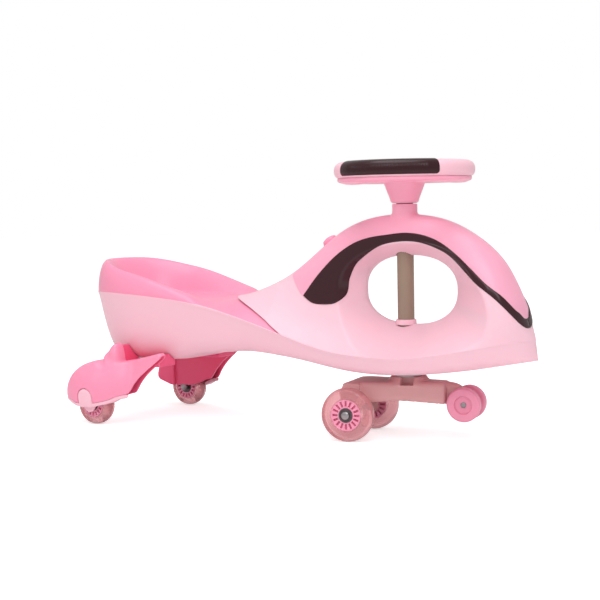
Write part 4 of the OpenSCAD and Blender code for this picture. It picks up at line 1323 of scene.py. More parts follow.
    def seat(self) -> Surface:
        """Bucket seat.

        The share q of the half width is 0 in the middle and 1 at the seam. A level pan rises to the
        rim with 1 - (1 - climb)^1.7, steep at its foot, and falls outside it along a quarter ellipse
        to the seam. In front the bucket runs out into a shelf under the tongue.

        Returns:
            The sheet, without its wall.
        """
        f = self.form
        s = np.sin(np.linspace(0, np.pi / 2, 200))[:, None]
        x = blend(f.seat_front, f.rear, s)
        t = np.linspace(-1, 1, 181)[None, :]
        half = f.seam_half(x)
        y = blend(t, np.sin(np.pi / 2 * t), 0.6) * half
        rim = curve(x, f.rim_points)
        edge = f.lip(x)
        long = np.abs(y) / np.maximum(half, 1e-6)
        round_end = np.hypot((x - f.seat_mid) / (f.rear - f.seat_mid), y / curve(x, f.width_points))
        ease = 30.0
        q = np.minimum(blend(round_end, long, smooth((x - f.seat_mid + ease) / (2 * ease))), 1.0)
        climb = soft_max(np.minimum((q - f.wall_foot) / (f.rim_at - f.wall_foot), 1.0), 0.0, 0.1)
        inside = blend(f.pan, rim, 1 - np.maximum(1 - climb, 0.0) ** f.wall_power)
        fall = (q - f.rim_at) / (1 - f.rim_at)
        outside = edge + (rim - edge) * np.sqrt(np.maximum(0.0, 1 - fall**2))
        bucket = np.where(q < f.rim_at, inside, outside)
        shelf = self.shelf(x, y, f.wall + 0.6)
        z = blend(bucket, shelf, smooth((x - f.tongue_tip + f.shelf_back) / f.shelf_run))
        return Surface.grid(np.stack([x + 0 * y, y, z], -1)).welded()

    def shelf(self, x: np.ndarray, y: np.ndarray, drop: float) -> np.ndarray:
        """Height of the shelf under the tongue: the saddle set down by a drop.

        Args:
            x: Places along the car, as a column.
            y: Places across the car.
            drop: How far the shelf lies below the saddle.
        Returns:
            The heights, found on a fine table of half widths for each row.
        """
        f = self.form
        step = np.linspace(0, 1, 400)[None, :]
        seam, crown = f.seam(x), f.crown(x)
        wide = f.flank(x, blend(seam, crown, step))
        find = np.stack([np.interp(-(np.abs(b) + drop), -w, step[0]) for w, b in zip(wide, y)])
        return blend(f.lip(x), crown - drop, find)

    def build(self) -> None:
        """Builds the shells. Their grids are turned round, so that the walls grow inwards."""
        f, fixed = self.form, self.lay.fixed
        lower, upper = self.lower_shell().flipped(), self.upper_shell().flipped()
        add_piece("body_lower_shell", fixed(lower), PALE_SHELL, "chassis", ["lower_shell"], f.wall, 0.3)
        add_piece("body_upper_shell", fixed(upper), PALE_SHELL, "chassis", ["upper_shell"], f.wall, 0.3)
        horn = Horn(self.lay)
        hood = self.hood().flipped().pierced((0, 0, f.neck_top), (0, 0, 1), f.neck_r - 1.0, 80.0)
        hood = hood.pierced(horn.place, horn.axis, horn.bezel_r - 1.0, 12.0)
        add_piece("body_hood", fixed(hood), HOOD_SHELL, "chassis", ["hood"], f.wall, 0.5)
        add_piece("body_hood_neck", fixed(self.neck()), HOOD_SHELL, "chassis")
        near = self.trim().outward()
        add_piece("body_trim_right", fixed(near), DARK_TRIM, "chassis", ["trim_band"])
        add_piece("body_trim_left", fixed(near.mirrored()), DARK_TRIM, "chassis")
        add_piece("body_seat", fixed(self.seat().flipped()), ROSE_SHELL, "chassis", ["seat"], f.wall, 0.7)


# Steering wheel and column


@dataclass(frozen=True)
class SteeringWheel:
    """Steering wheel with its lower cover, grips and cap, and the column tube, in millimetres.

    Attributes:
        section: Half width of the rim, and rim_half its half height.
        top_power: Squareness of the rim's section above its middle, and low_power below it.
        spoke_turns: Directions of the spokes in degrees.
        base_in: How far the middle of the cover's ring lies inside that of the rim.
        cone_points: Height and radius of the cone that holds the column.
        grip_half: Half of a grip's arc in degrees; grip_low is the angle of its lower edges.
    """

    lay: Layout
    section: float = 14.5
    rim_half: float = 12.8
    top_power: float = 2.2
    low_power: float = 2.6
    hub_r: float = 34.0
    hub_low: float = 385.0
    hub_top: float = 402.5
    spoke_half: float = 17.0
    spoke_turns: tuple[float, ...] = (180.0, 333.0, 27.0)
    base_top: float = 384.0
    base_low: float = 379.0
    base_half: float = 16.0
    base_in: float = 6.5
    base_power: float = 2.4
    rib_half: float = 12.0
    cone_points: Points = ((349, 18.6), (351.5, 20.6), (356, 22.0), (378, 30.2), (384, 32.0))
    tube_low: float = 64.0
    tube_top: float = 380.0
    tube_wall: float = 1.8
    bolt_r: float = 4.2
    cap_r: float = 25.0
    cap_high: float = 10.0
    grip_half: float = 45.8
    grip_low: float = -38.0
    grip_lift: float = 1.1
    grip_sunk: float = 0.25
    rib_pitch: float = 2.0
    rib_lift: float = 0.16

    @property
    def rim_r(self) -> float:
        """Radius of the middle of the rim."""
        return self.lay.rim_out - self.section

    @property
    def rim_z(self) -> float:
        """Height of the middle of the rim."""
        return self.hub_low + 0.4 + self.rim_half

    def spokes(self, x: np.ndarray, y: np.ndarray) -> list[tuple[np.ndarray, np.ndarray]]:
        """Distances along and across each spoke at x and y."""
        turns = [(math.cos(a), math.sin(a)) for a in np.radians(self.spoke_turns)]
        return [(x * c + y * s, y * c - x * s) for c, s in turns]

    def wheel_field(self, x: np.ndarray, y: np.ndarray, z: np.ndarray) -> np.ndarray:
        """Rim of squarish section, hub and three spokes, melted together; a bore through the hub.

        Args:
            x: Places along the car.
            y: Places across it.
            z: Heights.
        Returns:
            About the distance from them.
        """
        r = np.hypot(x, y)
        up = z - self.rim_z
        power = np.where(up < 0, self.low_power, self.top_power)
        share = (np.abs(r - self.rim_r) / self.section) ** power + (np.abs(up) / self.rim_half) ** power
        made = (share ** (1 / power) - 1.0) * self.rim_half
        middle, half = (self.hub_low + self.hub_top) / 2, (self.hub_top - self.hub_low) / 2
        made = soft_min(made, drum(r, z - middle, self.hub_r, half, 5.0), 4.0)
        low = (0.0, -self.spoke_half, self.hub_low + 1.0)
        high = (self.rim_r - 6.0, self.spoke_half, self.hub_top - 4.0)
        for along, across in self.spokes(x, y):
            made = soft_min(made, block((along, across, z), low, high, 5.0), 9.0)
        return np.maximum(made, self.bolt_r - r)

    def base_field(self, x: np.ndarray, y: np.ndarray, z: np.ndarray) -> np.ndarray:
        """Ring under the rim with a round lower side, a rib under each spoke and the cone on the column.

        Args:
            x: Places along the car.
            y: Places across it.
            z: Heights.
        Returns:
            About the distance from them.
        """
        r = np.hypot(x, y)
        deep = self.base_top - self.base_low
        hang = np.maximum(self.base_top - z, 0.0)
        n = self.base_power
        share = (np.abs(r - self.rim_r + self.base_in) / self.base_half) ** n + (hang / deep) ** n
        made = (share ** (1 / n) - 1.0) * deep
        low = (0.0, -self.rib_half, self.base_low + 1.0)
        high = (self.rim_r, self.rib_half, self.base_top + 5.0)
        for along, across in self.spokes(x, y):
            made = soft_min(made, block((along, across, z), low, high, 3.0), 6.0)
        cone = 0.9 * (r - curve(z, self.cone_points))
        made = soft_min(made, soft_max(cone, self.cone_points[0][0] - z, 2.0), 4.0)
        made = np.maximum(made, z - self.base_top - 3.0)
        made = np.maximum(made, np.minimum(self.lay.column_r + 0.3 - r, self.tube_top - z + r))
        return np.maximum(made, self.bolt_r - r)

    def grip(self) -> Surface:
        """Grip on the left side of the rim.

        A patch of the rim's section swept along the rim, with round corners, raised towards its
        middle; fine cross ribs stand on its outer and inner sides: lift cos(2 pi length / pitch).

        Returns:
            The closed surface.
        """
        rows, columns = 720, 64
        t = np.linspace(-1.0, 1.0, columns)[None, :]
        spread = math.radians(90.0 - self.grip_low)
        psi = np.pi / 2 - spread * t
        power = 2 / np.where(np.sin(psi) < 0, self.low_power, self.top_power)
        across = self.section * np.sign(np.cos(psi)) * np.abs(np.cos(psi)) ** power
        up = self.rim_half * np.sign(np.sin(psi)) * np.abs(np.sin(psi)) ** power
        height = self.section * spread
        corner = 6.0
        length = self.rim_r * math.radians(self.grip_half)
        over = np.maximum(np.abs(t) * height - height + corner, 0.0)
        end = length - corner + np.sqrt(np.maximum(corner**2 - over**2, 0.0))
        s = np.linspace(-1.0, 1.0, rows)[:, None] * end
        theta = np.pi / 2 + s / self.rim_r
        r = self.rim_r + across
        base = np.stack([r * np.cos(theta), r * np.sin(theta), self.rim_z + up + 0 * theta], -1)
        normal = Surface.grid(base).normals().reshape(base.shape)
        normal *= np.sign(normal[rows // 2, columns // 2, 2])
        edge = np.minimum(height * (1 - np.abs(t)), end - np.abs(s))
        sides = smooth((np.abs(t) - 0.42) / 0.1)
        ribbed = smooth((edge - 3.5) / 2.0) * sides * smooth((length - 14.0 - np.abs(s)) / 3.0)
        rib = self.rib_lift * ribbed * np.cos(2 * np.pi * s / self.rib_pitch)
        out = base + normal * (self.grip_lift * shoulder(edge / 2.0) - self.grip_sunk + rib)[..., None]
        back = base - normal * self.grip_sunk
        return Surface.grid(out).joined(Surface.grid(back).flipped()).welded(0.005).outward()

    def cap(self) -> Surface:
        """Domed cap on the hub, turned from its outline.

        Returns:
            The closed surface.
        """
        r, low, high = self.cap_r, self.hub_top + 0.1, self.hub_top + self.cap_high
        dome = (
            (0.0, high, 0), (12.0, high - 1.0, 6), (r - 1.0, high - 4.2, 2), (r, low, 0.4), (r - 3, low, 0.4),
            (0.0, low, 0),
        )
        return Surface.revolved(rounded(dome, closed=False), 96, closed=False).welded(0.01).outward()

    def tube(self) -> Surface:
        """Column tube, turned from the outline of its wall.

        Returns:
            The closed surface.
        """
        outer, inner = self.lay.column_r, self.lay.column_r - self.tube_wall
        low, high, edge = self.tube_low, self.tube_top, 0.5
        ring = ((outer, low, edge), (outer, high, edge), (inner, high, edge), (inner, low, edge))
        return Surface.revolved(rounded(ring), 96).outward()

    def build(self) -> None:
        """Builds the wheel and the column."""
        out, turned = self.lay.rim_out + 3, self.lay.steered
        wheel = surface_nets(self.wheel_field, (-out, -out, 382), (out, out, 417), 1.5)
        add_piece("wheel_rim", turned(wheel), PALE_SHELL, "steering", ["steering_wheel"])
        base = surface_nets(self.base_field, (-out, -out, 346), (out, out, 387), 1.6)
        add_piece("wheel_lower_cover", turned(base), HOOD_SHELL, "steering", ["wheel_base"])
        grip = self.grip()
        add_piece("wheel_grip_left", turned(grip), DARK_GRIP, "steering", ["grip_left"])
        add_piece("wheel_grip_right", turned(grip.mirrored()), DARK_GRIP, "steering", ["grip_right"])
        add_piece("wheel_cap", turned(self.cap()), ROSE_SHELL, "steering", ["hub_cap"])
        add_piece("column", turned(self.tube()), COLUMN_PAINT, "steering", ["column_tube"])


# Wheels and bogie


@dataclass(frozen=True)
class Roller:
    """One pair of wheels on an axle, in millimetres.

    Attributes:
        lay: Places read from the frame.
        name: First word of the node names.
        turns: Whether the pair turns with the column.
        place: Middle of the left wheel, measured from the column; its height is the tyre's radius.
        hub_share: Radius of the hub as a share of the tyre's.
        bearing_r: Outer radius of the bearings.
        slots: How many slots a hub has on each side.
        slot_deep: How deep these are, and slot_half is half of their width.
    """

    lay: Layout
    name: str
    turns: bool
    place: tuple[float, float, float]
    hub_share: float
    bearing_r: float = 11.0
    slots: int = 16
    slot_deep: float = 5.0
    slot_half: float = 1.15

    @property
    def hub_r(self) -> float:
        """Outer radius of the hubs."""
        return self.hub_share * self.place[2]

    def tyre(self) -> Surface:
        """Cast tyre, turned from an outline with full shoulders and a slightly hollow side.

        Returns:
            The closed surface, with its axle along z.
        """
        r, h, half = self.place[2], self.hub_r, self.lay.tread / 2
        side = ((h, 0.86, 0.5), (h + 2.5, 0.9, 1.2), (r - 7.5, 0.98, 5), (r - 2.6, 0.86, 3.2), (r, 0.34, 4.5))
        ring = [(a, -half * b, c) for a, b, c in side] + [(a, half * b, c) for a, b, c in reversed(side)]
        return Surface.revolved(rounded(ring), 160).outward()

    def hub(self) -> Surface:
        """Hub with a ring of slots on both sides.

        The side is level with a raised outer ring; each slot is let in by an eased step in the
        distance along the circle from its middle and in the radius.

        Returns:
            The closed surface, with its axle along z.
        """
        half, h, inner = 0.86 * self.lay.tread / 2 - 0.1, self.hub_r - 0.1, self.bearing_r - 0.9
        turn = np.linspace(0, 2 * np.pi, 24 * self.slots, endpoint=False)[:, None]
        ring, web = np.linspace(h, h - 2.4, 9), np.linspace(h - 2.6, inner + 0.2, 34)
        r = np.concatenate([ring, web, [inner]])[None, :]
        step = 2 * np.pi / self.slots
        arc = r * np.abs((turn + step / 2) % step - step / 2)
        inside = smooth((h - 2.2 - r) / 0.5) * smooth((r - inner - 2.8) / 0.5)
        slot = (1 - smooth((arc - self.slot_half) / 0.5)) * inside
        lip = 0.5 * smooth((r - h + 1.8) / 0.6) * smooth((h - r) / 0.5)
        face = half - 0.6 + lip - self.slot_deep * slot
        low = np.stack([r * np.cos(turn), r * np.sin(turn), -face], -1)
        high = low * (1, 1, -1)
        points = np.concatenate([high, low[:, ::-1]], 1)
        return Surface.grid(points, close_rows=True, close_columns=True).outward()

    def bearing(self) -> Surface:
        """Both ball bearings of a wheel as rings: an outer race, a sunk shield and an inner race.

        Returns:
            The closed surface, with its axle along z.
        """
        half, r, thick = self.lay.tread / 2 - 1.2, self.bearing_r - 0.2, 7.0
        side = ((4.1, 0, 0.2), (6.2, 0, 0.3), (6.5, -0.8, 0.1), (8.3, -0.8, 0.1), (8.6, 0, 0.3), (r, 0, 0.4))
        ring = [(a, half + b, c) for a, b, c in side]
        ring += [(a, half - thick - b, c) for a, b, c in reversed(side)]
        one = Surface.revolved(rounded(ring, steps=3), 72).outward()
        return one.joined(Surface(one.points * (1, 1, -1), one.faces[:, ::-1]))

    def stand(self, surface: Surface, side: int) -> Surface:
        """Sets a piece that was turned about the z axis onto the axle.

        Args:
            surface: The piece, with the wheel's middle at the origin.
            side: 1 for the left wheel, -1 for the right one.
        Returns:
            The piece in the row frame.
        """
        on = surface.laid().moved(self.place)
        on = on if side > 0 else on.mirrored()
        return self.lay.steered(on) if self.turns else self.lay.fixed(on)

    def build(self) -> None:
        """Builds both wheels."""
        pieces = (
            ("tyre", "tyre", self.tyre(), CAST_TYRE),
            ("hub", "hub", self.hub(), WHEEL_PLASTIC),
            ("bearing", "bearings", self.bearing(), BEARING_STEEL),
        )
        for word, side in (("left", 1), ("right", -1)):
            body = f"{self.name}_wheel_{word}"
            for piece, node, surface, finish in pieces:
                name = f"{self.name}_wheel_{piece}_{word}"
                add_piece(name, self.stand(surface, side), finish, body, [f"{self.name}_{node}_{word}"])


@dataclass(frozen=True)
class Bogie:
    """Swinging carrier of the front wheels with its two safety rollers, in millimetres.

    Attributes:
        half_rear: Half width at the wheels, half_front in front of them and arm_half of the arm.
        notch_low: Lowest corner of the notch in the near side of the boss, and notch_high its highest.
        side_points: Corners of the outline from the side with their roundings.
    """

    lay: Layout
    half_rear: float = 40.0
    half_front: float = 23.0
    arm_half: float = 9.4
    back: float = -97.0
    ahead: float = 102.0
    wall: float = 3.6
    trough_end: float = 60.0
    deck: float = 85.5
    boss_x: float = 3.0
    boss_r: float = 31.0
    boss_top: float = 93.0
    socket_r: float = 18.5
    socket_low: float = 60.0
    lug_r: float = 13.0
    lug_y: float = 41.0
    lug_half: float = 5.5
    notch_low: tuple[float, float, float] = (-1.5, -40.0, 81.5)
    notch_high: tuple[float, float, float] = (17.5, -15.5, 99.0)
    side_points: Corners = (
        (-97, 53, 3), (-97, 75, 9), (-84, 86, 14), (0, 86, 4), (62, 86, 8), (81, 82.5, 9), (90, 73, 8),
        (101, 64, 8), (101, 44, 12), (84, 42, 10), (72, 51, 8), (0, 56.5, 10), (-40, 54, 8),
    )

    def plan(self) -> np.ndarray:
        """Outline from above: wide at the wheels, narrow between the rollers.

        Returns:
            The closed outline in x and y.
        """
        gate = self.lay.safety_ahead - self.lay.safety_r - 3.0
        half = (
            (self.back, self.half_rear - 2, 14), (-60, self.half_rear, 10), (gate - 18, self.half_front, 14),
            (gate, self.half_front - 5, 3), (gate + 1, self.arm_half, 1), (self.ahead, self.arm_half, 5),
        )
        return rounded([*half, *((x, -y, c) for x, y, c in reversed(half))])

    def field(self, x: np.ndarray, y: np.ndarray, z: np.ndarray) -> np.ndarray:
        """Trough that is open below, a raised boss round the column and two lugs on the axle.

        Args:
            x: Places along the car.
            y: Places across it.
            z: Heights.
        Returns:
            About the distance from them.
        """
        lay = self.lay
        flat = outline(x, y, self.plan())
        side = outline(x, z, rounded(self.side_points))
        inside = np.maximum(flat + self.wall, z - self.deck + self.wall)
        inside = np.maximum(inside, x - self.trough_end)
        made = np.maximum(soft_max(flat, side, 9.0), -inside)
        cone = np.hypot(x - self.boss_x, y) - self.boss_r + 0.6 * (z - self.deck)
        boss = soft_max(cone, z - self.boss_top, 2.0)
        made = soft_min(made, np.maximum(boss, self.deck - 4.0 - z), 4.0)
        r = np.hypot(x, y)
        socket = np.maximum(r - self.socket_r, self.socket_low - z)
        made = np.minimum(made, np.maximum(socket, z - self.boss_top))
        off = x + lay.front_axle_back
        lug = np.hypot(off, np.minimum(z - lay.front_r, 0.0)) - self.lug_r
        lug = np.maximum(lug, z - self.deck + 2.0)
        lug = np.maximum(lug, np.abs(np.abs(y) - self.lug_y) - self.lug_half)
        made = soft_min(made, lug, 3.0)
        made = np.maximum(made, -block((x, y, z), self.notch_low, self.notch_high, 0.5))
        return np.maximum(made, lay.column_r + 0.2 - r)

    def roller(self) -> Surface:
        """Safety roller, turned from an outline with a round tread and a sunk middle on its outer side.

        Returns:
            The closed surface, with its axle along z.
        """
        r, half, bore, dish = self.lay.safety_r, self.lay.safety_width / 2, 4.2, 12.6
        ring = (
            (bore, half - 4.2, 0.3), (dish, half - 4.2, 0.6), (dish + 1.0, half, 0.8), (r - 2.2, half, 1.6),
            (r, half - 3.0, 2.4), (r - 0.8, 0, 3.0), (r, 3.0 - half, 2.4), (r - 2.2, -half, 1.6),
            (bore, -half, 0.3),
        )
        return Surface.revolved(rounded(ring), 128).outward()

    def build(self) -> None:
        """Builds the bogie and its rollers."""
        lay = self.lay
        made = surface_nets(self.field, (-101, -50, 24), (106, 50, 97), 1.3)
        add_piece("bogie_frame", lay.steered(made), BOGIE_PLASTIC, "steering", ["front_bogie"])
        left = self.roller().laid().moved((lay.safety_ahead, lay.safety_half, lay.safety_z))
        for word, roller in (("left", left), ("right", left.mirrored())):
            name = f"safety_roller_{word}"
            add_piece(name, lay.steered(roller), WHEEL_PLASTIC, name, [f"safety_wheel_{word}"])


# Rear legs and horn


@dataclass(frozen=True)
class Bulge:
    """Round swelling of a side: a paraboloid over an ellipse, in millimetres.

    Attributes:
        x: Middle along the car, and z its height.
        long: Half length, and high its half height.
        out: How far its middle stands out.
        fall: How much less it stands out on the ellipse.
    """

    x: float
    z: float
    long: float
    high: float
    out: float
    fall: float

    def stand(self, x: np.ndarray, z: np.ndarray) -> np.ndarray:
        """How far it stands out at x and z."""
        return self.out - self.fall * (((x - self.x) / self.long) ** 2 + ((z - self.z) / self.high) ** 2)


@dataclass(frozen=True)
class RearLeg:
    """Cover over a rear wheel with its knuckle and arm, and the fork under it, in millimetres.

    The forms are given for the left side, where y counts outwards.

    Attributes:
        inner: Place of its inner side across the car; its outermost place is out.
        inner_wall: Thickness of the inner side, which grows from inner_taper on and ends at inner_end.
        tab_cut: Place from which the cover leaves room for the tab; the tab starts at tab_in.
        cheek_out: Distance of the cheek beside the wheel from the wheel's middle.
        arm_out: How far the arm stands out, arm_tip more at its tip and arm_foot more below.
        fold_run: Run of the fold between dome and knuckle in x and z.
        recess_low: Lowest corner of the recess inside, and recess_high its highest.
        tip: How many corners of back_points lead over the back to the tip of the arm.
    """

    lay: Layout
    form: BodyForm
    wall: float = 3.2
    inner: float = 98.0
    out: float = 150.0
    dome: Bulge = Bulge(-517.0, 54.0, 51.0, 46.0, 151.0, 16.0)
    knuckle: Bulge = Bulge(-476.0, 110.0, 16.0, 24.0, 122.0, 9.0)
    arm_out: float = 104.0
    arm_tip: float = 9.0
    arm_foot: float = 12.0
    fold_start: tuple[float, float] = (-501.0, 108.0)
    fold_run: tuple[float, float] = (22.0, -20.0)
    fold_deep: float = 7.0
    fold_wide: float = 5.0
    inner_wall: float = 7.0
    inner_taper: float = -492.0
    inner_end: float = -480.0
    body_gap: float = 0.8
    tab_r: float = 14.0
    tab_z: float = 46.0
    tab_in: float = 136.6
    tab_low: float = 30.0
    tab_cut: float = 128.0
    cheek_r: float = 12.0
    cheek_top: float = 72.0
    cheek_out: float = 16.6
    cheek_half: float = 1.5
    web_in: float = 58.0
    recess_low: tuple[float, float, float] = (-529.0, 60.0, 20.0)
    recess_high: tuple[float, float, float] = (-498.0, 103.6, 96.0)
    back_points: Corners = (
        (-566, 51, 4), (-563.5, 64, 8), (-552, 83, 10), (-532, 97, 10), (-510, 104, 8), (-498, 106, 3),
        (-495, 115, 6), (-488, 125.5, 7), (-480, 132, 6), (-473, 130, 5), (-469, 116, 6), (-467, 102, 3),
        (-422, 111, 10), (-388, 119, 3), (-383, 115.5, 2), (-385, 110, 3), (-399, 99.5, 8), (-420, 83.5, 10),
        (-434, 69, 8), (-441, 58, 4),
    )
    tip: int = 14
    edge_points: Points = ((-446, 51.5), (-459, 49), (-475, 42), (-498, 37), (-535, 36), (-562, 45))

    def outer(self, x: np.ndarray, z: np.ndarray) -> np.ndarray:
        """How far the outer side stands out: a dome over the wheel, a knuckle and an arm, less a fold.

        Args:
            x: Places along the car.
            z: Heights.
        Returns:
            Its place across the car.
        """
        foot = self.arm_foot * smooth((110.0 - z) / 50.0)
        arm = self.arm_out + self.arm_tip * smooth((x + 465.0) / 70.0) + foot
        (start_x, start_z), (run_x, run_z) = self.fold_start, self.fold_run
        dx, dz = x - start_x, z - start_z
        t = np.clip((dx * run_x + dz * run_z) / (run_x**2 + run_z**2), 0.0, 1.0)
        off = np.hypot(dx - run_x * t, dz - run_z * t)
        fold = self.fold_deep * np.exp(-((off / self.fold_wide) ** 2)) * (1.0 - smooth(t))
        return soft_max(soft_max(self.dome.stand(x, z), arm, 10.0), self.knuckle.stand(x, z), 6.0) - fold

    def back(self, *ends: tuple[float, float, float]) -> np.ndarray:
        """Closed outline along the back, from the rear to the tip of the arm, and on through some ends."""
        return rounded((*self.back_points[: self.tip], *ends))

    def side(self, x: np.ndarray, y: np.ndarray, z: np.ndarray) -> np.ndarray:
        """Solid between the inner and the outer side of the leg, without its lower and front edge."""
        back = outline(x, z, self.back((-366, 108, 1), (-396, -40, 1), (-566, -40, 1)))
        return np.maximum(soft_max(back, y - self.outer(x, z), 9.0), self.inner - y)

    def tab(self, x: np.ndarray, z: np.ndarray, more: float) -> np.ndarray:
        """Arched tab round the end of the axle, larger by a margin, as an outline."""
        over = np.maximum(z - self.tab_z, 0.0)
        return np.hypot(x + self.lay.rear_back + 1.0, over) - self.tab_r - more

    def web(self, x: np.ndarray, y: np.ndarray, z: np.ndarray) -> np.ndarray:
        """Solid web between the cover and the lower body, low under the arm and high behind the knuckle.

        Args:
            x: Places along the car.
            y: Places across it.
            z: Heights.
        Returns:
            About the distance from it.
        """
        end = self.inner + 2.0
        low = block((x, y, z), (-472, self.web_in, 95), (-396, end, 114), 2.0)
        high = block((x, y, z), (-512, self.web_in, 92), (-468, end, 127), 4.0)
        top = outline(x, z, self.back((-385, 90, 1), (-566, 40, 1)))
        return np.maximum(np.minimum(low, high), top + 2.0)

    def cover_field(self, x: np.ndarray, y: np.ndarray, z: np.ndarray) -> np.ndarray:
        """Hollow cover, open below and in front, cut to the lower body, to the tab and to a recess inside.

        Args:
            x: Places along the car.
            y: Places across it.
            z: Heights.
        Returns:
            About the distance from it.
        """
        edge = [(a, b, 5.0) for a, b in self.edge_points]
        form = self.side(x, y, z)
        thick = self.inner + self.inner_wall - y + np.maximum(x - self.inner_taper, 0.0)
        inside = np.maximum(form + self.wall, np.where(x < self.inner_end, thick, -self.out))
        made = np.maximum(form, outline(x, z, rounded((*self.back_points, *edge))))
        made = np.minimum(np.maximum(made, -inside), self.web(x, y, z))
        made = np.maximum(made, self.body_gap - self.form.tub_field(x, y, z))
        made = np.maximum(made, -block((x, y, z), self.recess_low, self.recess_high, 1.0))
        return np.maximum(made, -np.maximum(self.tab(x, z, 0.7), self.tab_cut - y))

    def painted_shade_faces(self, surface: Surface) -> np.ndarray:
        """Faces of the cover that lie in shade, inside it and on its inner side, by their middles; they get
        the painted shade.
        """
        x, y, z = surface.points[surface.faces].mean(axis=1).T
        return (self.side(x, y, z) < -1.5) | (y < self.inner + 1.0)

    def fork_field(self, x: np.ndarray, y: np.ndarray, z: np.ndarray) -> np.ndarray:
        """Lip under the cover, round the wheel, with the tab on its outer side and a cheek inside.

        Args:
            x: Places along the car.
            y: Places across it.
            z: Heights.
        Returns:
            About the distance from them.
        """
        lay = self.lay
        high = [(a, b - 0.15, 4.0) for a, b in self.edge_points]
        low = [(a, b - 6.0, 4.0) for a, b in reversed(self.edge_points)]
        lip = soft_max(outline(x, z, rounded((*high, *low))), self.side(x, y, z) - 0.2, 1.5)
        lip = np.maximum(lip, lay.rear_half - 2.0 - y)
        well = block((x + lay.rear_back, y - lay.rear_half, z), (-36, -14, -40), (36, 14, 90), 3.0)
        lip = np.maximum(lip, -well)
        tab = soft_max(self.tab(x, z, 0.0), y - self.outer(x, z) - 1.0, 4.0)
        tab = np.maximum(np.maximum(tab, self.tab_in - y), self.tab_low - z)
        plate = np.hypot(x + lay.rear_back, np.minimum(z - lay.rear_r, 0.0)) - self.cheek_r
        plate = np.maximum(plate, z - self.cheek_top)
        cheek = np.maximum(plate, np.abs(y - lay.rear_half - self.cheek_out) - self.cheek_half)
        return np.minimum(np.minimum(lip, tab), cheek)

    def build(self) -> None:
        """Builds both legs."""
        fixed = self.lay.fixed
        cover = surface_nets(self.cover_field, (-572, 44, 28), (-374, 155, 138), 1.2)
        fork = surface_nets(self.fork_field, (-570, 94, 17), (-432, 156, 76), 1.2)
        # Faces in shade inside the covers are marked for the painted shade.
        inside = self.painted_shade_faces(cover).astype(np.int32)
        for word, leg, foot in (("left", cover, fork), ("right", cover.mirrored(), fork.mirrored())):
            made = add_piece(f"leg_cover_{word}", fixed(leg), ROSE_SHELL, "chassis", [f"rear_cover_{word}"])
            # Second material: a deeper, redder rose as painted shade on the faces in shade.
            made.data.materials.append(ROSE_PAINTED_SHADE.material())
            made.data.polygons.foreach_set("material_index", inside)
            add_piece(f"leg_fork_{word}", fixed(foot), PALE_SHELL, "chassis", [f"rear_fork_{word}"])


@dataclass(frozen=True)
class Horn:
    """Horn button in the rear slope of the hood, with its ring, in millimetres."""

    lay: Layout
    place: tuple[float, float, float] = (-131.0, 0.0, 292.16)
    lean: float = 0.6409
    bezel_r: float = 12.5
    button_r: float = 9.0

    @property
    def axis(self) -> tuple[float, float, float]:
        """Direction in which the button looks."""
        return (-math.sin(self.lean), 0.0, math.cos(self.lean))

    def set_in(self, corners: Corners) -> Surface:
        """Turned piece set into the hood, from the radius, height and rounding of its corners."""
        made = Surface.revolved(rounded(corners), 72).welded(0.005).outward()
        return self.lay.fixed(made.leaned(self.lean).moved(self.place))

    def build(self) -> None:
        """Builds ring and button."""
        r, b = self.bezel_r, self.button_r
        ring = (
            (b + 0.3, -4, 0.2), (b + 0.3, 4.6, 0.6), (r - 1.6, 4.8, 1.2), (r, 0.0, 1.0), (r - 0.6, -4, 0.2),
        )
        add_piece("horn_ring", self.set_in(ring), ROSE_SHELL, "chassis", ["horn_bezel"])
        knob = ((0, -6, 0), (b, -6, 0.4), (b, 5.4, 1.2), (b - 3, 6.8, 2.0), (0, 7.4, 0))
        add_piece("horn_knob", self.set_in(knob), ROSE_SHELL, "horn", ["horn_button"])


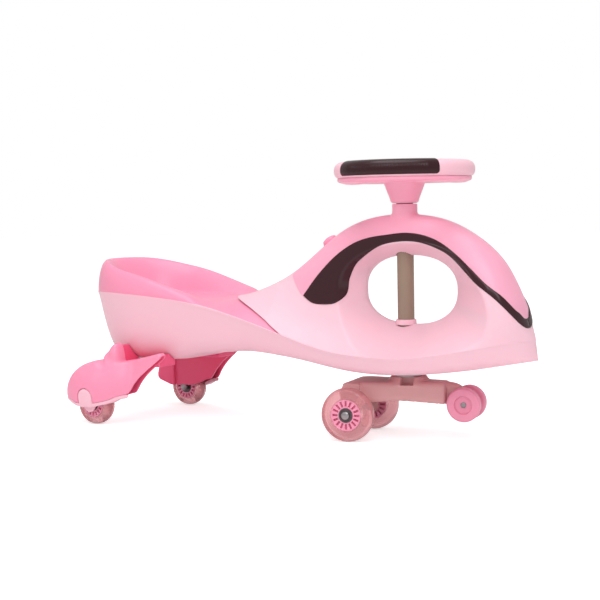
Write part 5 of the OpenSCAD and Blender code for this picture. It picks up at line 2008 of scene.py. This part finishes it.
@dataclass(frozen=True)
class Hardware:
    """Axles, nuts and collar, and the nodes of the frame that only get their material."""

    lay: Layout
    bushes: tuple[str, ...] = ("upper_bush", "lower_bush")
    steel: tuple[str, ...] = (
        "thrust_washer", "body_screws", "leg_screws", "hub_bolt", "column_insert", "bogie_pin",
        "front_washers", "rear_spacers_left", "rear_spacers_right",
    )

    def pin(self, low: float, high: float, radius: float, head: float) -> Surface:
        """Axle with a domed head at its lower end.

        Args:
            low: Outer end of the head along the axle.
            high: Other end of the axle.
            radius: Radius of the axle.
            head: Radius of the head, which is as thick as half of that.
        Returns:
            The piece turned about the z axis and laid across the car.
        """
        under = low + head / 2
        ring = (
            (0, low, 0), (0.5 * head, low + 0.4, 1.0), (head, low + 0.3 * head, 0.8), (head, under, 0.3),
            (radius, under, 0.3), (radius, high, 0.5), (0, high, 0),
        )
        return Surface.revolved(rounded(ring, closed=False), 48, closed=False).welded(0.005).outward().laid()

    def nut(self, low: float, high: float, radius: float, across: float) -> Surface:
        """Nut with six sides whose corners are turned off.

        Args:
            low: One end along the axle.
            high: Other end along the axle.
            radius: Radius of the bore.
            across: Distance of the sides from the axis.
        Returns:
            The piece turned about the z axis and laid across the car.
        """
        turn = np.linspace(0, 2 * np.pi, 72, endpoint=False)[:, None]
        flat = across / np.cos((turn + np.pi / 6) % (np.pi / 3) - np.pi / 6)
        share = np.array([0.0, 0.9, 1.0, 1.0, 0.9, 0.0])[None, :]
        r = radius + (np.minimum(flat, 1.1 * across) - radius) * share
        z = np.array([low, low, low + 0.8, high - 0.8, high, high])[None, :] + 0 * turn
        points = np.stack([r * np.cos(turn), r * np.sin(turn), z], -1)
        return Surface.grid(points, close_rows=True, close_columns=True).outward().laid()

    def collar(self) -> Surface:
        """Low ring round the column on the floor of the hole.

        Returns:
            The closed surface.
        """
        low, high = (np.asarray(c)[2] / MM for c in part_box("shelf_collar"))
        r = self.lay.column_r + 0.4
        ring = ((r, low, 0.2), (r, high, 0.6), (r + 2.2, high, 0.8), (r + 2.8, low, 0.3))
        return Surface.revolved(rounded(ring), 72).outward()

    def axles(self) -> None:
        """Builds the axles and nuts."""
        lay = self.lay
        front = lay.front_half + lay.tread / 2 + 0.4
        place = (-lay.front_axle_back, 0.0, lay.front_r)
        pin = self.pin(-front - 2.0, front + 1.6, 4.0, 6.0).moved(place)
        nut = self.nut(front - 1.2, front + 1.2, 4.05, 5.8).moved(place)
        add_piece("front_axle_pin", lay.steered(pin), PLATED_STEEL, "steering", ["front_axle"])
        add_piece("front_axle_nut", lay.steered(nut), PLATED_STEEL, "steering", ["front_nut"])
        safety = lay.safety_half + lay.safety_width / 2 - 4.2
        place = (lay.safety_ahead, 0.0, lay.safety_z)
        pin = self.pin(-safety - 2.4, safety + 2.2, 2.6, 4.2).moved(place)
        nut = self.nut(safety, safety + 1.8, 2.65, 4.2).moved(place)
        add_piece("safety_axle_pin", lay.steered(pin), PLATED_STEEL, "steering", ["safety_axle"])
        add_piece("safety_axle_nut", lay.steered(nut), PLATED_STEEL, "steering", ["safety_nut"])
        left = self.pin(-18.6, 18.0, 4.0, 6.0).moved((-lay.rear_back, lay.rear_half, lay.rear_r))
        for word, rear in (("left", left), ("right", left.mirrored())):
            name = f"rear_axle_pin_{word}"
            add_piece(name, lay.fixed(rear), PLATED_STEEL, "chassis", [f"rear_axle_{word}"])

    def build(self) -> None:
        """Builds the axles and the collar and dresses the nodes."""
        self.axles()
        add_piece("column_collar", self.lay.fixed(self.collar()), PALE_SHELL, "chassis", ["shelf_collar"])
        for names, finish in ((self.bushes, BUSH_PLASTIC), (self.steel, PLATED_STEEL)):
            for name in names:
                dress_node(name, finish)


# Stage, light and camera


@dataclass(frozen=True)
class Lamp:
    """Square soft light that points at the middle of the car.

    Attributes:
        name: Name of the light.
        place: Its place in metres.
        size: Its size in metres.
        power: Its power in watts.
    """

    name: str
    place: tuple[float, float, float]
    size: float
    power: float

    def build(self) -> None:
        """Builds the light."""
        data = bpy.data.lights.new(self.name, "AREA")
        data.shape = "SQUARE"
        data.size = self.size
        data.energy = self.power
        back = np.asarray(self.place) - (0.0, 0.0, 0.2)
        back = back / np.linalg.norm(back)
        # A light from almost straight above takes the x axis as its side.
        steep = 0.99
        side = np.cross((0.0, 0.0, 1.0), back) if abs(back[2]) < steep else np.array([1.0, 0.0, 0.0])
        side = side / np.linalg.norm(side)
        axes = np.eye(4)
        axes[:3] = np.stack([side, np.cross(back, side), back, self.place], -1)
        made = bpy.data.objects.new(self.name, data)
        made.matrix_world = Matrix(axes.tolist())
        bpy.context.scene.collection.objects.link(made)


@dataclass(frozen=True)
class Studio:
    """Pale floor, soft lights and the camera of the photograph.

    Attributes:
        eye: Place of the camera in millimetres; yaw, pitch and roll are its angles in radians.
        lens: Focal length of the camera in millimetres, on a sensor as wide as sensor.
        ambient: Strength of the light from all around.
        reach: Half width of the floor in millimetres.
        lamps: The soft lights.
    """

    eye: tuple[float, float, float] = (1174.5, -1751.7, 345.4)
    yaw: float = 0.5934
    pitch: float = 0.0682
    roll: float = 0.0188
    lens: float = 81.2
    sensor: float = 36.0
    ambient: float = 0.62
    reach: float = 12000.0
    lamps: tuple[Lamp, ...] = (
        Lamp("key", (1.3, -1.7, 2.0), 1.4, 27.0),
        Lamp("top", (-0.1, -0.3, 2.7), 1.8, 31.0),
        Lamp("glint", (-0.75, -2.1, 1.35), 0.45, 3.0),
    )

    def camera(self) -> None:
        """Camera from its place and its three angles."""
        level = math.cos(self.pitch)
        ahead = np.array([-math.sin(self.yaw) * level, math.cos(self.yaw) * level, -math.sin(self.pitch)])
        right = np.array([math.cos(self.yaw), math.sin(self.yaw), 0.0])
        up = np.cross(right, ahead)
        c, s = math.cos(self.roll), math.sin(self.roll)
        axes = np.eye(4)
        axes[:3] = np.stack([right * c - up * s, right * s + up * c, -ahead, np.asarray(self.eye) * MM], -1)
        data = bpy.data.cameras.new("camera")
        data.lens = self.lens
        data.sensor_width = self.sensor
        data.clip_end = 50.0
        made = bpy.data.objects.new("camera", data)
        made.matrix_world = Matrix(axes.tolist())
        bpy.context.scene.collection.objects.link(made)
        bpy.context.scene.camera = made

    def floor(self) -> None:
        """Wide white floor just under the wheels."""
        corners = self.reach * MM * np.array([[-1, -1, 0], [1, -1, 0], [1, 1, 0], [-1, 1, 0]])
        mesh = bpy.data.meshes.new("floor")
        mesh.from_pydata(corners.tolist(), [], [(0, 1, 2, 3)])
        made = bpy.data.objects.new("floor", mesh)
        bpy.context.scene.collection.objects.link(made)
        mesh.materials.append(WHITE_PAPER.material())

    def world(self) -> None:
        """Even white surroundings that look brighter than the light they give."""
        made = bpy.data.worlds.new("studio")
        made.use_nodes = True
        tree = made.node_tree
        seen = add_node(tree, "ShaderNodeLightPath").outputs["Is Camera Ray"]
        span = {"Value": seen, "To Min": self.ambient, "To Max": 1.0}
        power = add_node(tree, "ShaderNodeMapRange", span).outputs["Result"]
        sky = tree.nodes["Background"].inputs
        sky["Color"].default_value = (1.0, 1.0, 1.0, 1.0)
        tree.links.new(power, sky["Strength"])
        bpy.context.scene.world = made

    def build(self) -> None:
        """Builds stage, lights and camera."""
        self.floor()
        self.world()
        self.camera()
        for lamp in self.lamps:
            lamp.build()
        bpy.context.scene.view_settings.view_transform = "Standard"


def main() -> None:
    """Builds the looks of the car."""
    logging.basicConfig(level=logging.INFO, format="%(message)s")
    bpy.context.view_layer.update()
    Studio().build()
    Body(FORM, LAY).build()
    SteeringWheel(LAY).build()
    Roller(LAY, "front", True, (-LAY.front_axle_back, LAY.front_half, LAY.front_r), hub_share=0.585).build()
    Roller(LAY, "rear", False, (-LAY.rear_back, LAY.rear_half, LAY.rear_r), hub_share=0.65).build()
    Bogie(LAY).build()
    RearLeg(LAY, FORM).build()
    Horn(LAY).build()
    Hardware(LAY).build()


if __name__ == "__main__":
    main()
